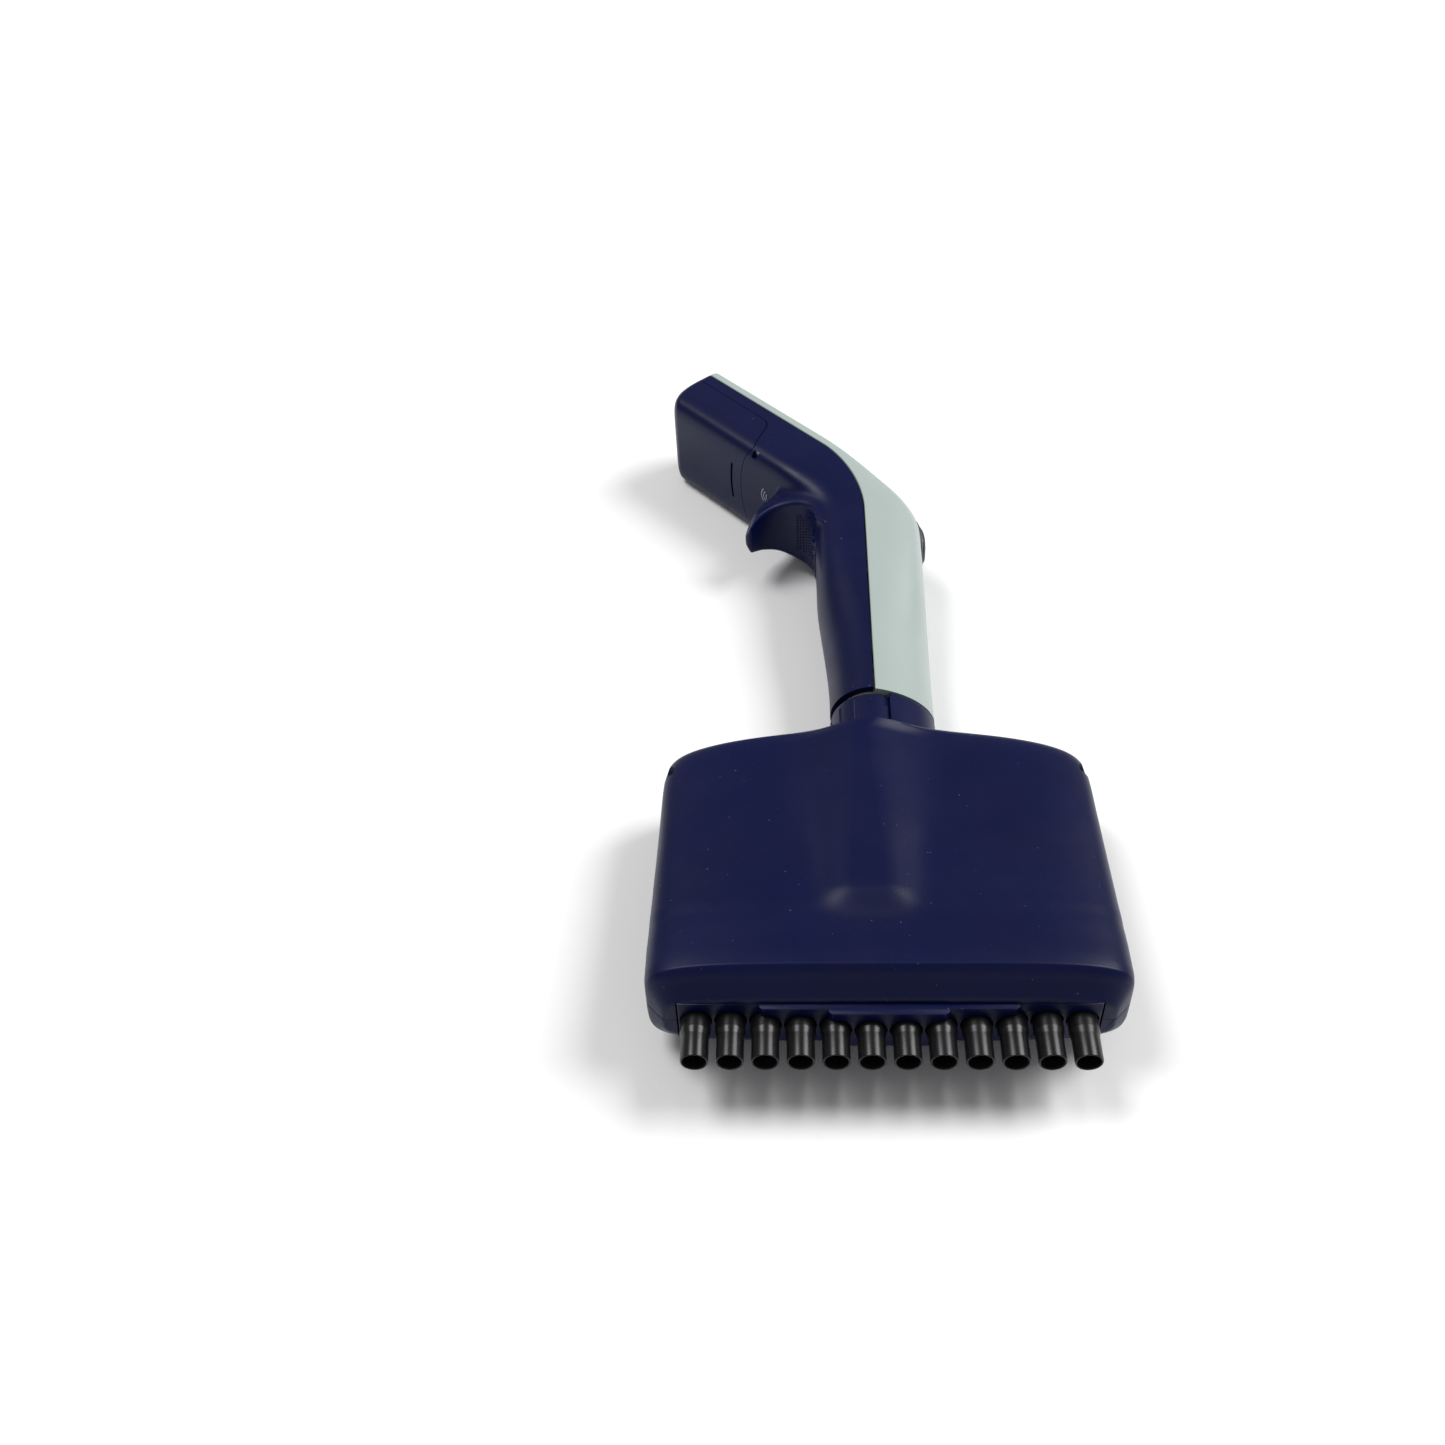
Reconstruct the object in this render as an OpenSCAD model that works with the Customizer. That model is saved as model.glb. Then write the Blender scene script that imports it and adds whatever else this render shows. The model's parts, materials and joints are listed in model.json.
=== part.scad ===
// Motorized twelve-channel pipette controller, lying on its side.
// Millimetres. +Z up, +Y along the piston axis from the nozzles to the grip, +X to the front of the grip.
// Every module is drawn with the piston axis on the Y axis and the nozzle tips at y = 0;
// placed() then moves it so that the origin is the middle of the footprint, on the table.

/* [Channels] */
// Number of channels
channels = 12; // [8:2:12]
// Distance from one channel to the next
pitch = 9; // [9:0.5:9]
// Radius of a nozzle where the tip is pushed on
land_r = 3.6; // [3.2:0.05:3.7]
// Length of that straight land
land_len = 6.6; // [5:0.2:7]

/* [Manifold] */
// Half width of the manifold case at its widest
case_w = 63; // [60:0.5:66]
// Half thickness of the manifold case at the fold
case_t = 17; // [15:0.5:17.5]
// Height of the bottom face of the case above the tip plane
case_bottom = 12.8; // [12:0.2:14]
// Height of the top of the case above the tip plane
case_top = 108.2; // [107:0.2:109]
// Half thickness over the middle rib, which is also the height of the piston axis over the table
rib_t = 18.5; // [18:0.1:18.5]
// Wall of the case
case_wall = 2; // [1.6:0.1:2.4]

/* [Grip] */
// Radius of the collar round the piston axis
collar_r = 12.5; // [12:0.1:13]
// Distance from the seam to the front of the grip
grip_front = 19.3; // [18.5:0.1:20]
// Distance from the seam to the back of the grip
grip_back = 16.4; // [15.5:0.1:17]
// Height where the grip starts to bend backwards
bend_from = 209; // [205:0.5:212]
// Radius of the seam in the bend
bend_r = 52; // [48:0.5:56]
// Angle of the bend
bend = 42; // [38:0.5:45]
// Wall of the grip shells
wall = 2; // [1.6:0.1:2.2]

/* [Head] */
// Straight length of the head beyond the bend
head_len = 64.5; // [62:0.5:66]
// Half width of the head, before its sides are cut flat
head_w = 18.62; // [18.6:0.02:19]
// Distance from the seam to the display face
head_front = 4; // [3.6:0.1:4.4]
// Distance from the seam to the back of the head
head_back = 21.4; // [21:0.1:22]

/* [Travel] */
// Piston stroke
stroke = 20; // [10:1:20]
// Travel of the tip stripper
strip_travel = 8; // [6:0.5:8]

/* [Hidden] */

$fn = 48;
// Radial clearance of a running fit
fit = 0.05;

navy = [0.09, 0.12, 0.30];
mint = [0.74, 0.80, 0.78];
black = [0.05, 0.05, 0.06];
steel = [0.75, 0.76, 0.78];
brass = [0.80, 0.65, 0.30];
board_green = [0.10, 0.35, 0.22];
ivory = [0.85, 0.84, 0.80];

// Footprint offset: the middle of the bounding box, and the height of the piston axis over the table
foot_x = 2.16;
foot_y = -146.37;
axis_h = rib_t;

// ---------- helpers ----------

module placed() {
    translate([foot_x, foot_y, axis_h]) children();
}

// A cylinder along the piston axis, from y0 to y1
module rod(y0, y1, r) {
    translate([0, y0, 0]) rotate([-90, 0, 0]) cylinder(h = y1 - y0, r = r);
}

module sleeve(y0, y1, ro, ri) {
    difference() {
        rod(y0, y1, ro);
        rod(y0 - 1, y1 + 1, ri);
    }
}

// A box given by its low and high corners
module span(low, high) {
    translate(low) cube(high - low);
}

// Turns the difference or union of lofted surfaces into one mesh
module fused() {
    resize([0, 0, 0]) children();
}

// One closed solid through rings of points, every ring with the same number of points
module skin(rings) {
    count = len(rings[0]);
    last = len(rings) - 1;
    sides = [
        for (i = [0:last - 1])
            for (j = [0:count - 1])
                let (k = (j + 1) % count)
                    each [
                        [i * count + j, i * count + k, (i + 1) * count + k],
                        [i * count + j, (i + 1) * count + k, (i + 1) * count + j]
                    ]
    ];
    low = [[for (j = [count - 1:-1:0]) j]];
    high = [[for (j = [0:count - 1]) last * count + j]];
    polyhedron(points = [for (ring = rings) each ring], faces = concat(low, sides, high), convexity = 8);
}

// A coil spring along +Z from 0 to height
module coil(height, radius, wire, turns) {
    steps = 10;
    corners = 6;
    count = turns * steps;
    skin([
        for (i = [0:count])
            let (a = 360 * i / steps, z = wire + (height - 2 * wire) * i / count)
                [for (k = [0:corners - 1])
                    let (b = -360 * k / corners, d = radius + wire * cos(b))
                        [d * cos(a), d * sin(a), z + wire * sin(b)]]
    ]);
}

function clamp01(x) = max(0, min(1, x));
function ease(x) = let (t = clamp01(x)) t * t * (3 - 2 * t);
function between(x, x0, x1, a, b) = a + (b - a) * ease((x - x0) / (x1 - x0));
// Smooth smaller and larger of two lengths, blended over k
function soft_min(a, b, k) = let (h = max(k - abs(a - b), 0) / k) min(a, b) - h * h * k / 4;
function soft_max(a, b, k) = -soft_min(-a, -b, k);

// ---------- grip and head: sections along the seam ----------

grip_bottom = 119;
rim = 124;
bend_len = bend_r * bend * PI / 180;
bend_end = bend_from + bend_len;

// Angle of the seam at distance t; t is the height y below the bend
function turn(t) = t < bend_from ? 0 : min(bend, (t - bend_from) / bend_len * bend);
seam_x = 1;
elbow = [seam_x - bend_r * (1 - cos(bend)), bend_from + bend_r * sin(bend)];
function seam(t) = t < bend_from ? [seam_x, t]
    : t < bend_end ? [seam_x - bend_r * (1 - cos(turn(t))), bend_from + bend_r * sin(turn(t))]
    : elbow + (t - bend_end) * [-sin(bend), cos(bend)];
function toward_front(t) = [cos(turn(t)), sin(turn(t))];

function half_width(t) = t < bend_from ? between(t, rim, bend_from, collar_r, 16.2)
    : between(t, bend_from, bend_end + 4, 16.2, head_w);
// The front is where the straight grip face meets the display face, blended over 8.5
function front_depth(t) =
    let (
        a = turn(t),
        b = bend - a,
        grip = (between(t, rim, 185, grip_front - 0.8, grip_front) + bend_r * (1 - cos(a))) / cos(a),
        head = t < bend_from ? (head_front + bend_r * (1 - cos(bend))) / cos(bend)
            + (bend_from - t) * tan(bend) : (head_front + bend_r * (1 - cos(b))) / cos(b)
    )
    t < bend_end ? soft_min(grip, head, 8.5) : head_front;
function back_depth(t) =
    let (
        a = turn(t),
        b = bend - a,
        grip = (between(t, rim + 4, 182, collar_r + 0.8, grip_back) - bend_r * (1 - cos(a))) / cos(a),
        head = t < bend_from ? (head_back - bend_r * (1 - cos(bend))) / cos(bend)
            - (bend_from - t) * tan(bend) : (head_back - bend_r * (1 - cos(b))) / cos(b)
    )
    t < bend_end ? soft_max(grip, head, 7) : head_back;
function squareness(t) = t < bend_from ? between(t, 150, bend_from, 2, 4) : between(t, bend_from, bend_end, 4, 7.5);

// How far the back edge of the end of the head is cut short
end_cut = 4.5;
function end_shift(t, v) = -end_cut * pow(clamp01(v / head_back), 3) * ease((t - bend_end - 38) / 26);

// The front face of the sunk body stays this far in front of the seam
front_least = 0.32;
// A point of the body at distance t, angle a from the front, sunk by inset
function body_point(t, a, inset) =
    let (
        n = 2 / squareness(t),
        depth = cos(a) >= 0 ? max(front_depth(t) - inset, front_least) : -(back_depth(t) - inset),
        q = depth * pow(abs(cos(a)), n),
        z = (half_width(t) - inset) * sign(sin(a)) * pow(abs(sin(a)), n),
        p = seam(t) + q * toward_front(t) + end_shift(t, -q) * [-sin(bend), cos(bend)]
    )
    [p.x, p.y, z];
around = 36;
function body_ring(t, inset) = [for (i = [0:around - 1]) body_point(t, 360 * i / around, inset)];

end_r = 4;
body_end = bend_end + head_len;
function body_stations(inset) = concat(
    [for (t = [grip_bottom, 130, 140, 152, 164, 176, 188, 197, 204]) [t, inset]],
    [for (i = [0:9]) [bend_from + i * bend_len / 9, inset]],
    [for (k = [18, 36, 45, 55.5]) [bend_end + k, inset]],
    [for (a = [0, 30, 60, 85]) [body_end - inset - end_r + end_r * sin(a), inset + end_r * (1 - cos(a))]]
);
module body_solid(inset) {
    skin([for (s = body_stations(inset)) body_ring(s[0], s[1])]);
}
// Everything between the two planes that the part can lie on
module lying_space() {
    cube([400, 800, 2 * rib_t], center = true);
}

// Everything in front of the seam, shifted forwards by gap
module front_space(gap) {
    line = [for (t = [100, bend_from, each [for (i = [1:14]) bend_from + i * bend_len / 14], body_end + 30])
        seam(t) + gap * toward_front(t)];
    linear_extrude(height = 60, center = true)
        polygon(concat(line, [[60, 330], [60, 100]]));
}

// Children drawn with x along the head, y towards its back, and the origin at the end of the bend
module in_head() {
    translate([elbow.x, elbow.y, 0]) rotate([0, 0, 90 + bend]) children();
}

// The cut between the rear shell and the battery cover, as a block on the cover's side
door_u = 20.6;
door_arch_r = 36;
door_side = 5;
module door_space(gap) {
    in_head() difference() {
        translate([gap, gap, 0]) linear_extrude(height = 60, center = true)
            polygon([[15, 40], [15, 20.4], [16.6, 17.4], [19.6, 11.4], [21.6, 7.4], [23.6, 5.8],
                [26.6, door_side], [90, door_side], [90, 40]]);
        translate([door_u - door_arch_r, 13, 0]) rotate([-90, 0, 0])
            cylinder(h = 30, r = door_arch_r + gap, $fn = 64);
    }
}

module hollow_body() {
    difference() {
        intersection() {
            body_solid(0);
            lying_space();
        }
        body_solid(wall);
    }
}

// ---------- finger hook ----------

// Half width of the hook against the distance it reaches back from the seam
function hook_half(x) = x > -23.5 ? between(-x, 14, 23.5, 14.5, 12.4) : x > -31 ? 12.4 + (x + 23.5) * 0.447
    : x > -36 ? 9.05 + (x + 31) * 0.35 : 7.3 + (x + 36) * 1.05;
hook_under = [[-12, 203], [-15.2, 206], [-16.2, 210.5], [-18.5, 214.2], [-22, 216.6], [-26, 217.9],
    [-30, 217.8], [-33.5, 216.2], [-36.2, 213.6], [-37.6, 211.3]];
hook_over = [[-39, 211], [-39.9, 212.2], [-39.6, 214.6], [-38.2, 217.8], [-36, 220.8], [-33, 223.6],
    [-30, 226.4], [-28, 229.5], [-25, 232], [-12, 226]];
module hook() {
    intersection() {
        linear_extrude(height = 40, center = true) polygon(concat(hook_under, hook_over));
        translate([0, 250, 0]) rotate([90, 0, 0]) linear_extrude(height = 60)
            polygon(concat(
                [for (x = [-40, -38, -36, -33.5, -31, -27, -23.5, -18, -10]) [x, hook_half(x)]],
                [for (x = [-10, -18, -23.5, -27, -31, -33.5, -36, -38, -40]) [x, -hook_half(x)]]));
    }
}

// ---------- grip shells ----------

seam_gap = 0.12;
port_w = 8.2;
port_t = 3.2;
port_v = 1.6;

module usb_opening() {
    in_head() translate([50, port_v, 0]) cube([30, port_t + 0.6, port_w + 0.6], center = true);
}

latch_u = 13.6;
module latch_opening() {
    in_head() span([latch_u - 1.2, 13.5, 14.9], [latch_u + 1.2, 30, 17.3]);
}

// Bosses for the screws that pull the two shells together, from x0 to x1
shell_screw_at = [[5, 181, 11], [5, 181, -11], [5, 222, 12.6], [5, 222, -12.6]];
screw_len = 10;
boss_r = 2.9;
head_h = 1.4;
module bosses(x0, x1, r) {
    for (p = shell_screw_at)
        translate([x0, p.y, p.z]) rotate([0, 90, 0]) cylinder(h = x1 - x0, r = r, $fn = 24);
}

module rear_shell() {
    color(navy) placed() fused() difference() {
        intersection() {
            union() {
                difference() {
                    body_solid(0);
                    body_solid(wall);
                }
                intersection() {
                    bosses(-6.5, 3, boss_r);
                    body_solid(wall / 2);
                }
                difference() {
                    hook();
                    body_solid(wall);
                }
            }
            lying_space();
        }
        bosses(-5.2, 6, 1.1);
        span([-20, trigger_from, -trigger_w], [-8, trigger_to, trigger_w]);
        front_space(-seam_gap);
        door_space(-0.1);
        span([-40, 90, -30], [40, rim, 30]);
        usb_opening();
        latch_opening();
    }
}

// The lower edge of the front cover slopes: it is lower at the front
module cover_foot(drop) {
    linear_extrude(height = 60, center = true)
        polygon([[-5, 60], [60, 60], [60, 118.9 - drop], [17, 119.9 - drop], [1.8, 123.2 - drop],
            [-5, 124.5 - drop]]);
}

// How far the bezel and the button stand out of the front cover
bezel_proud = 0.8;
button_proud = 2.2;
// The trigger's pocket in the back of the grip
trigger_from = 200.6;
trigger_to = 210.4;
trigger_w = 8;
// The thumb button leans with the corner of the grip
thumb_at = [18.6, 209];
thumb_lean = 15.6;
thumb_long = 12.2;
thumb_wide = 8.6;
module in_thumb() {
    translate([thumb_at.x, thumb_at.y, 0]) rotate([0, 0, thumb_lean]) children();
}
// An oval prism along the button's axis, from x0 to x1
module oval(x0, x1, long, wide) {
    translate([x0, 0, 0]) rotate([90, 0, 90]) linear_extrude(height = x1 - x0)
        polygon([for (a = [0:10:350]) [long * cos(a), wide * sin(a)]]);
}

window_u0 = 9;
window_u1 = 53;
window_w = 14;
key_u = 3.2;
key_z = 8.5;
key_r = 3.6;

module front_cover() {
    color(mint) placed() fused() difference() {
        intersection() {
            union() {
                hollow_body();
                intersection() {
                    bosses(-4, shell_screw_at[2].x - head_h, boss_r);
                    body_solid(wall / 2);
                    lying_space();
                }
            }
            front_space(seam_gap);
        }
        bosses(-5, 6, 1.1);
        cover_foot(0);
        rod(100, ring_to + 0.5, collar_r + 0.35);
        in_thumb() oval(-12, 10, thumb_long + 0.3, thumb_wide + 0.3);
        in_head() {
            span([window_u0, -10, -window_w], [window_u1, 4, window_w]);
            for (side = [-1, 1])
                translate([key_u, -10, side * key_z]) rotate([-90, 0, 0]) cylinder(h = 14, r = key_r, $fn = 32);
        }
        usb_opening();
    }
}

// A crescent in front of the release ring that carries the line of the front cover down to the case
shroud_from = 108.6;
module collar_shroud() {
    color(navy) placed() difference() {
        translate([0, shroud_from, 0]) rotate([-90, 0, 0]) linear_extrude(height = 16) difference() {
            intersection() {
                translate([seam_x, 0]) polygon([for (a = [-90:7.5:90])
                    [(grip_front - 0.8) * cos(a), collar_r * sin(a)]]);
                translate([4.6, -30]) square([30, 60]);
            }
            circle(r = collar_r + 0.35);
        }
        translate([0, 0, 0]) linear_extrude(height = 60, center = true)
            polygon([[-5, 200], [60, 200], [60, 118.6], [17, 119.6], [1.8, 122.9], [-5, 124.2]]);
    }
}

// The finger slot of the battery cover
slot_u = 26;
slot_half = 7.6;
module battery_cover() {
    color(navy) placed() fused() difference() {
        intersection() {
            hollow_body();
            door_space(0.1);
        }
        // finger slot
        in_head() translate([slot_u - 40, 26, 0]) rotate([90, 0, 0]) intersection() {
            difference() {
                cylinder(h = 4.4, r = 40.4, $fn = 120);
                translate([0, 0, -1]) cylinder(h = 7, r = 39.4, $fn = 120);
            }
            translate([30, -slot_half, -1]) cube([20, 2 * slot_half, 8]);
        }
        usb_opening();
    }
}

// ---------- head electronics ----------

module display_window() {
    color([0.05, 0.06, 0.08]) placed() in_head()
        span([window_u0 + 0.15, -3.85, -window_w + 0.15], [window_u1 - 0.15, -2.3, window_w - 0.15]);
}

module lcd_panel() {
    color([0.25, 0.30, 0.35]) placed() in_head() {
        difference() {
            span([window_u0 - 1, -1.9, -14.4], [window_u1 + 1.5, -0.2, 14.4]);
            span([window_u0 + 1.5, -2.4, -window_w + 1.5], [window_u1 - 1.5, -1.6, window_w - 1.5]);
        }
    }
}

board_top = 0.6;
board_low = 2.0;
module main_board() {
    color(board_green) placed() in_head() difference() {
        span([-1, board_top, -15.2], [58.5, board_low, 15.2]);
        for (u = [3, 55])
            for (side = [-1, 1])
                translate([u, -4, side * 13]) rotate([-90, 0, 0]) cylinder(h = 8, r = 1.1);
    }
}

module board_chips() {
    color(black) placed() in_head() {
        span([18, board_low, -6], [26, board_low + 1.2, 2]);
        span([30, board_low, -12], [35, board_low + 1, -6]);
        span([33, board_low, 3], [39, board_low + 1, 9]);
        span([43, board_low, -4], [47, board_low + 0.9, 2]);
    }
}

module usb_port() {
    color(steel) placed() in_head() translate([58.6, port_v, 0]) rotate([0, 90, 0]) difference() {
        translate([-port_w / 2, -port_t / 2, 0]) cube([port_w, port_t, 5]);
        translate([-port_w / 2 + 0.4, -port_t / 2 + 0.4, 1]) cube([port_w - 0.8, port_t - 0.8, 5]);
        translate([0, 0, 0]) cylinder(h = 0.4, r = 0.3);
    }
}

module rfid_antenna() {
    color(brass) placed() in_head() difference() {
        span([-9.5, 17.4, -8], [6.5, 18.2, 8]);
        span([-6.5, 17, -5], [3.5, 19, 5]);
    }
}

module buzzer() {
    color(black) placed() in_head() translate([2.5, board_low, 0]) rotate([-90, 0, 0]) difference() {
        cylinder(h = 3.4, r = 4.6);
        translate([0, 0, 2.6]) cylinder(h = 2, r = 0.8);
    }
}

module battery_pack() {
    color([0.55, 0.57, 0.62]) placed() in_head() difference() {
        span([15, 5.2, -14.6], [56, 17.8, 14.6]);
        span([20, 17.3, -12], [50, 18, 12]);
    }
}

module battery_contacts() {
    color(brass) placed() in_head()
        for (z = [-5, 0, 5])
            span([13.2, board_low, z - 1.1], [14.9, 12, z + 1.1]);
}

module cover_latch() {
    color(steel) placed() in_head() {
        span([latch_u - 1, 13.6, 15.1], [latch_u + 1, 18.9, 17.1]);
    }
}

module flex_cable() {
    color([0.75, 0.45, 0.12]) placed() translate([0, 0, -12.4]) linear_extrude(height = 3.2)
        polygon([[12.5, 190], [12.8, 190], [12.8, 203.1], [7.5, 222.1], [-11.98, 242.93], [-12.2, 242.73], [7.2, 222],
            [12.5, 203]]);
}

module driver_board() {
    color(board_green) placed() {
        span([12.8, 150, -6.5], [14.2, 196, 6.5]);
        span([12.8, 188, -11.4], [14.2, 196, -6.5]);
        span([11.6, 152, -4], [12.8, 158, 4]);
        span([11.8, 166, -3], [12.8, 172, 3]);
    }
}

// ---------- motor and screw ----------

motor_from = 146;
motor_to = 178;
motor_r = 10.6;
bore_r = 7.05;
nut_r = 4;
screw_r = 2;
bearing_h = 2.6;

module motor_housing() {
    color(steel) placed() difference() {
        sleeve(motor_from, motor_to, motor_r, 4.6);
        rod(motor_from + 1, motor_to - 1, 9.4);
    }
}

module motor_coils() {
    color([0.70, 0.38, 0.16]) placed()
        for (y = [motor_from + 4.4, motor_from + 16.8])
            sleeve(y, y + 10.8, 9.2, bore_r + 0.1);
}

module motor_bearings() {
    color(steel) placed()
        for (y = [motor_from + 1.2, motor_to - 1.2 - bearing_h])
            sleeve(y, y + bearing_h, bore_r + 1.4, nut_r + fit);
}

module rotor_magnet() {
    color([0.35, 0.35, 0.37]) placed() sleeve(motor_from + 4.4, motor_to - 4.4, bore_r - 0.35, nut_r);
}

module rotor_nut() {
    color(brass) placed() sleeve(motor_from + 0.4, motor_to - 0.4, nut_r, screw_r + fit);
}

mount_from = 135.2;
module motor_mount() {
    color(ivory) placed() {
        difference() {
            union() {
                sleeve(motor_from - 3, motor_from, 10.2, 4.6);
                sleeve(mount_from, mount_from + 2, 9.9, 8);
                for (a = [30, 150, 270])
                    rotate([0, a, 0]) translate([8.9, 0, 0]) rod(mount_from, motor_from - 1, 0.8);
            }
            for (a = [90, 210, 330])
                rotate([0, a, 0]) translate([7.8, 0, 0]) rod(motor_from - 4, motor_from + 1, 1.05);
        }
    }
}

module motor_screws() {
    color(steel) placed()
        for (a = [90, 210, 330])
            rotate([0, a, 0]) translate([7.8, 0, 0]) {
                rod(motor_from - 3, motor_from, 1);
                rod(motor_from - 4.6, motor_from - 3, 1.9);
            }
}

coupler_from = 113.4;
screw_top = 198;
module lead_screw() {
    color(steel) placed() {
        rod(coupler_from + 6, screw_top, screw_r);
        rod(screw_top, screw_top + 1.2, 0.8);
    }
}

module drive_coupler() {
    color(steel) placed() difference() {
        union() {
            rod(coupler_from, coupler_from + 6, 3.2);
            rod(coupler_from + 6, coupler_from + 8, 2.9);
        }
        rod(coupler_from + 6, coupler_from + 9, screw_r);
    }
}

module antirotation_key() {
    color(black) placed() difference() {
        span([-2.5, screw_top, -6.2], [2.5, screw_top + 3, 6.2]);
        rod(screw_top - 1, screw_top + 1.2, 0.8);
    }
}

module guide_rails() {
    color(ivory) placed()
        for (side = [-1, 1])
            difference() {
                translate([0, 0, side * 7.6]) span([-3.6, 184.2, -1.1], [3.6, 224, 1.1]);
                translate([0, 0, side * 6.5]) span([-2.65, 180, -0.5], [2.65, 230, 0.5]);
            }
}

// ---------- thumb button and keys ----------

module thumb_bezel() {
    color(black) placed() fused() difference() {
        intersection() {
            in_thumb() oval(-5, 8, thumb_long, thumb_wide);
            body_solid(-bezel_proud);
        }
        in_thumb() oval(-8, 10, thumb_long - 2.6, thumb_wide - 2.1);
    }
}

module thumb_button() {
    color([0.08, 0.09, 0.16]) placed() {
        fused() intersection() {
            in_thumb() oval(-2.4, 10, thumb_long - 3, thumb_wide - 2.5);
            body_solid(-button_proud);
        }
        in_thumb() rotate([0, 90, 0]) translate([0, 0, -8]) cylinder(h = 6, r = 1.8);
    }
}

module thumb_spring() {
    color(steel) placed() in_thumb() translate([-6.6, 0, 0]) rotate([0, 90, 0]) coil(4.1, 2.6, 0.25, 4);
}

module thumb_switch() {
    color(black) placed() in_thumb() {
        difference() {
            span([-13.4, -4, -4], [-9.9, 4, 4]);
            span([-14, -1.5, -1.5], [-13, 1.5, 1.5]);
        }
        difference() {
            span([-7.7, -6, -5.5], [-6.7, 6, 5.5]);
            rotate([0, 90, 0]) translate([0, 0, -9]) cylinder(h = 5, r = 2.1);
        }
        for (side = [-1, 1])
            span([-11, side * 5 - 1, -4], [-7.5, side * 5 + 1, 4]);
    }
}

trigger_mid = (trigger_from + trigger_to) / 2;
trigger_gap = 0.3;
trigger_out = -16;
module trigger() {
    color(navy) placed() difference() {
        union() {
            span([trigger_out, trigger_from + trigger_gap, -trigger_w + trigger_gap],
                [-11.8, trigger_to - trigger_gap, trigger_w - trigger_gap]);
            span([-12.6, trigger_from - 0.5, -trigger_w - 0.4], [-11.8, trigger_to + 0.5, trigger_w + 0.4]);
            for (y = [trigger_from + 1.6:2.2:trigger_to - 1])
                span([trigger_out - 0.5, y - 0.5, -trigger_w + 1], [trigger_out, y + 0.5, trigger_w - 1]);
            translate([-11.9, trigger_mid, 0]) rotate([0, 90, 0]) cylinder(h = 3.5, r = 1.6);
        }
        for (z = [-4.5:3:4.5])
            span([trigger_out - 1, trigger_from, z - 0.35], [trigger_out - 0.1, trigger_to, z + 0.35]);
    }
}

module trigger_spring() {
    color(steel) placed() translate([-11.75, trigger_mid, 0]) rotate([0, 90, 0]) coil(2.2, 2.5, 0.2, 2);
}

module trigger_switch() {
    color(black) placed() {
        span([-6.8, trigger_mid - 3, -3], [-4.6, trigger_mid + 3, 3]);
        difference() {
            span([-9.5, trigger_from, -6], [-8.7, trigger_to, 6]);
            translate([-10, trigger_mid, 0]) rotate([0, 90, 0]) cylinder(h = 2, r = 1.9);
        }
        for (side = [-1, 1])
            span([-8.7, trigger_mid - 2, side * 2.4 - 0.5], [-6.8, trigger_mid + 2, side * 2.4 + 0.5]);
    }
}

module soft_key(side) {
    color(navy) placed() in_head() translate([key_u, 0, side * key_z]) rotate([90, 0, 0]) {
        translate([0, 0, 1]) cylinder(h = 3.5, r = key_r - 0.3);
        translate([0, 0, 1]) cylinder(h = 0.8, r = key_r + 0.4);
    }
}
module left_key() {
    soft_key(-1);
}
module right_key() {
    soft_key(1);
}

module key_switches() {
    color(black) placed() in_head()
        for (side = [-1, 1])
            span([key_u - 2, -0.3, side * key_z - 2], [key_u + 2, board_top, side * key_z + 2]);
}

module shell_screws() {
    color(steel) placed()
        for (p = shell_screw_at)
            translate([shell_screw_at[2].x, p.y, p.z]) rotate([0, -90, 0]) {
                cylinder(h = screw_len, r = 1);
                cylinder(h = head_h, r = 1.9);
            }
}

// ---------- collar and neck ----------

spigot_r = 8;
bush_from = 124.3;
bush_to = 133.4;
module swivel_bush() {
    color(ivory) placed() sleeve(bush_from, bush_to, 9.8, spigot_r + fit);
}

ring_from = 109;
ring_to = 121.6;
module release_ring() {
    color(navy) placed() difference() {
        union() {
            sleeve(ring_from, ring_to, collar_r - 0.4, spigot_r + 0.5);
            for (a = [97:30:247])
                rotate([0, a, 0]) span([collar_r - 0.8, ring_from + 1.2, -0.5], [collar_r - 0.05, ring_to - 1.2, 0.5]);
        }
        // release mark
        rotate([0, -70, 0]) span([collar_r - 0.9, 117, -0.6], [collar_r + 1, ring_to + 1, 0.6]);
    }
}

module spigot() {
    color(steel) placed() difference() {
        union() {
            rod(98, 134.9, spigot_r);
            rod(98, 100.4, 10.2);
        }
        rod(97, 136, 4);
        sleeve(bush_to + 0.2, bush_to + 1.2, spigot_r + 1, spigot_r - 0.7);
    }
}

module spigot_circlip() {
    color(steel) placed() difference() {
        sleeve(bush_to + 0.25, bush_to + 1.15, 9.3, spigot_r - 0.7);
        span([-20, 120, -1.2], [0, 140, 1.2]);
    }
}

// ---------- manifold case ----------

case_stations = [[0, 58, 8.4], [2.6, 60.4, 12.8], [4.8, 62.2, 16.4], [5.6, 62.6, 17], [8, 63, 17], [16, 63, 16.6],
    [20, 62.9, 16.4], [23, 62.8, 16.2], [26, 62.8, 16.1], [29, 62.7, 15.9], [38, 62.5, 15.4], [52, 62.2, 14.7],
    [66, 62, 13.9], [78, 61.9, 13.3], [86, 61.6, 12.7], [91, 60.7, 12], [93.6, 59.2, 11.2], [94.8, 57.8, 9.9],
    [95.4, 56.4, 7.6]];
case_q = [0, 0.05, 0.1, 0.15, 0.2, 0.26, 0.33, 0.45, 0.65, 0.8, 0.88, 0.935, 0.97, 0.99, 1];
case_square = 5;
// The rib's middle line lies a little behind the nozzle row's middle
rib_x = -4;
rib_over = 0.1;

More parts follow.
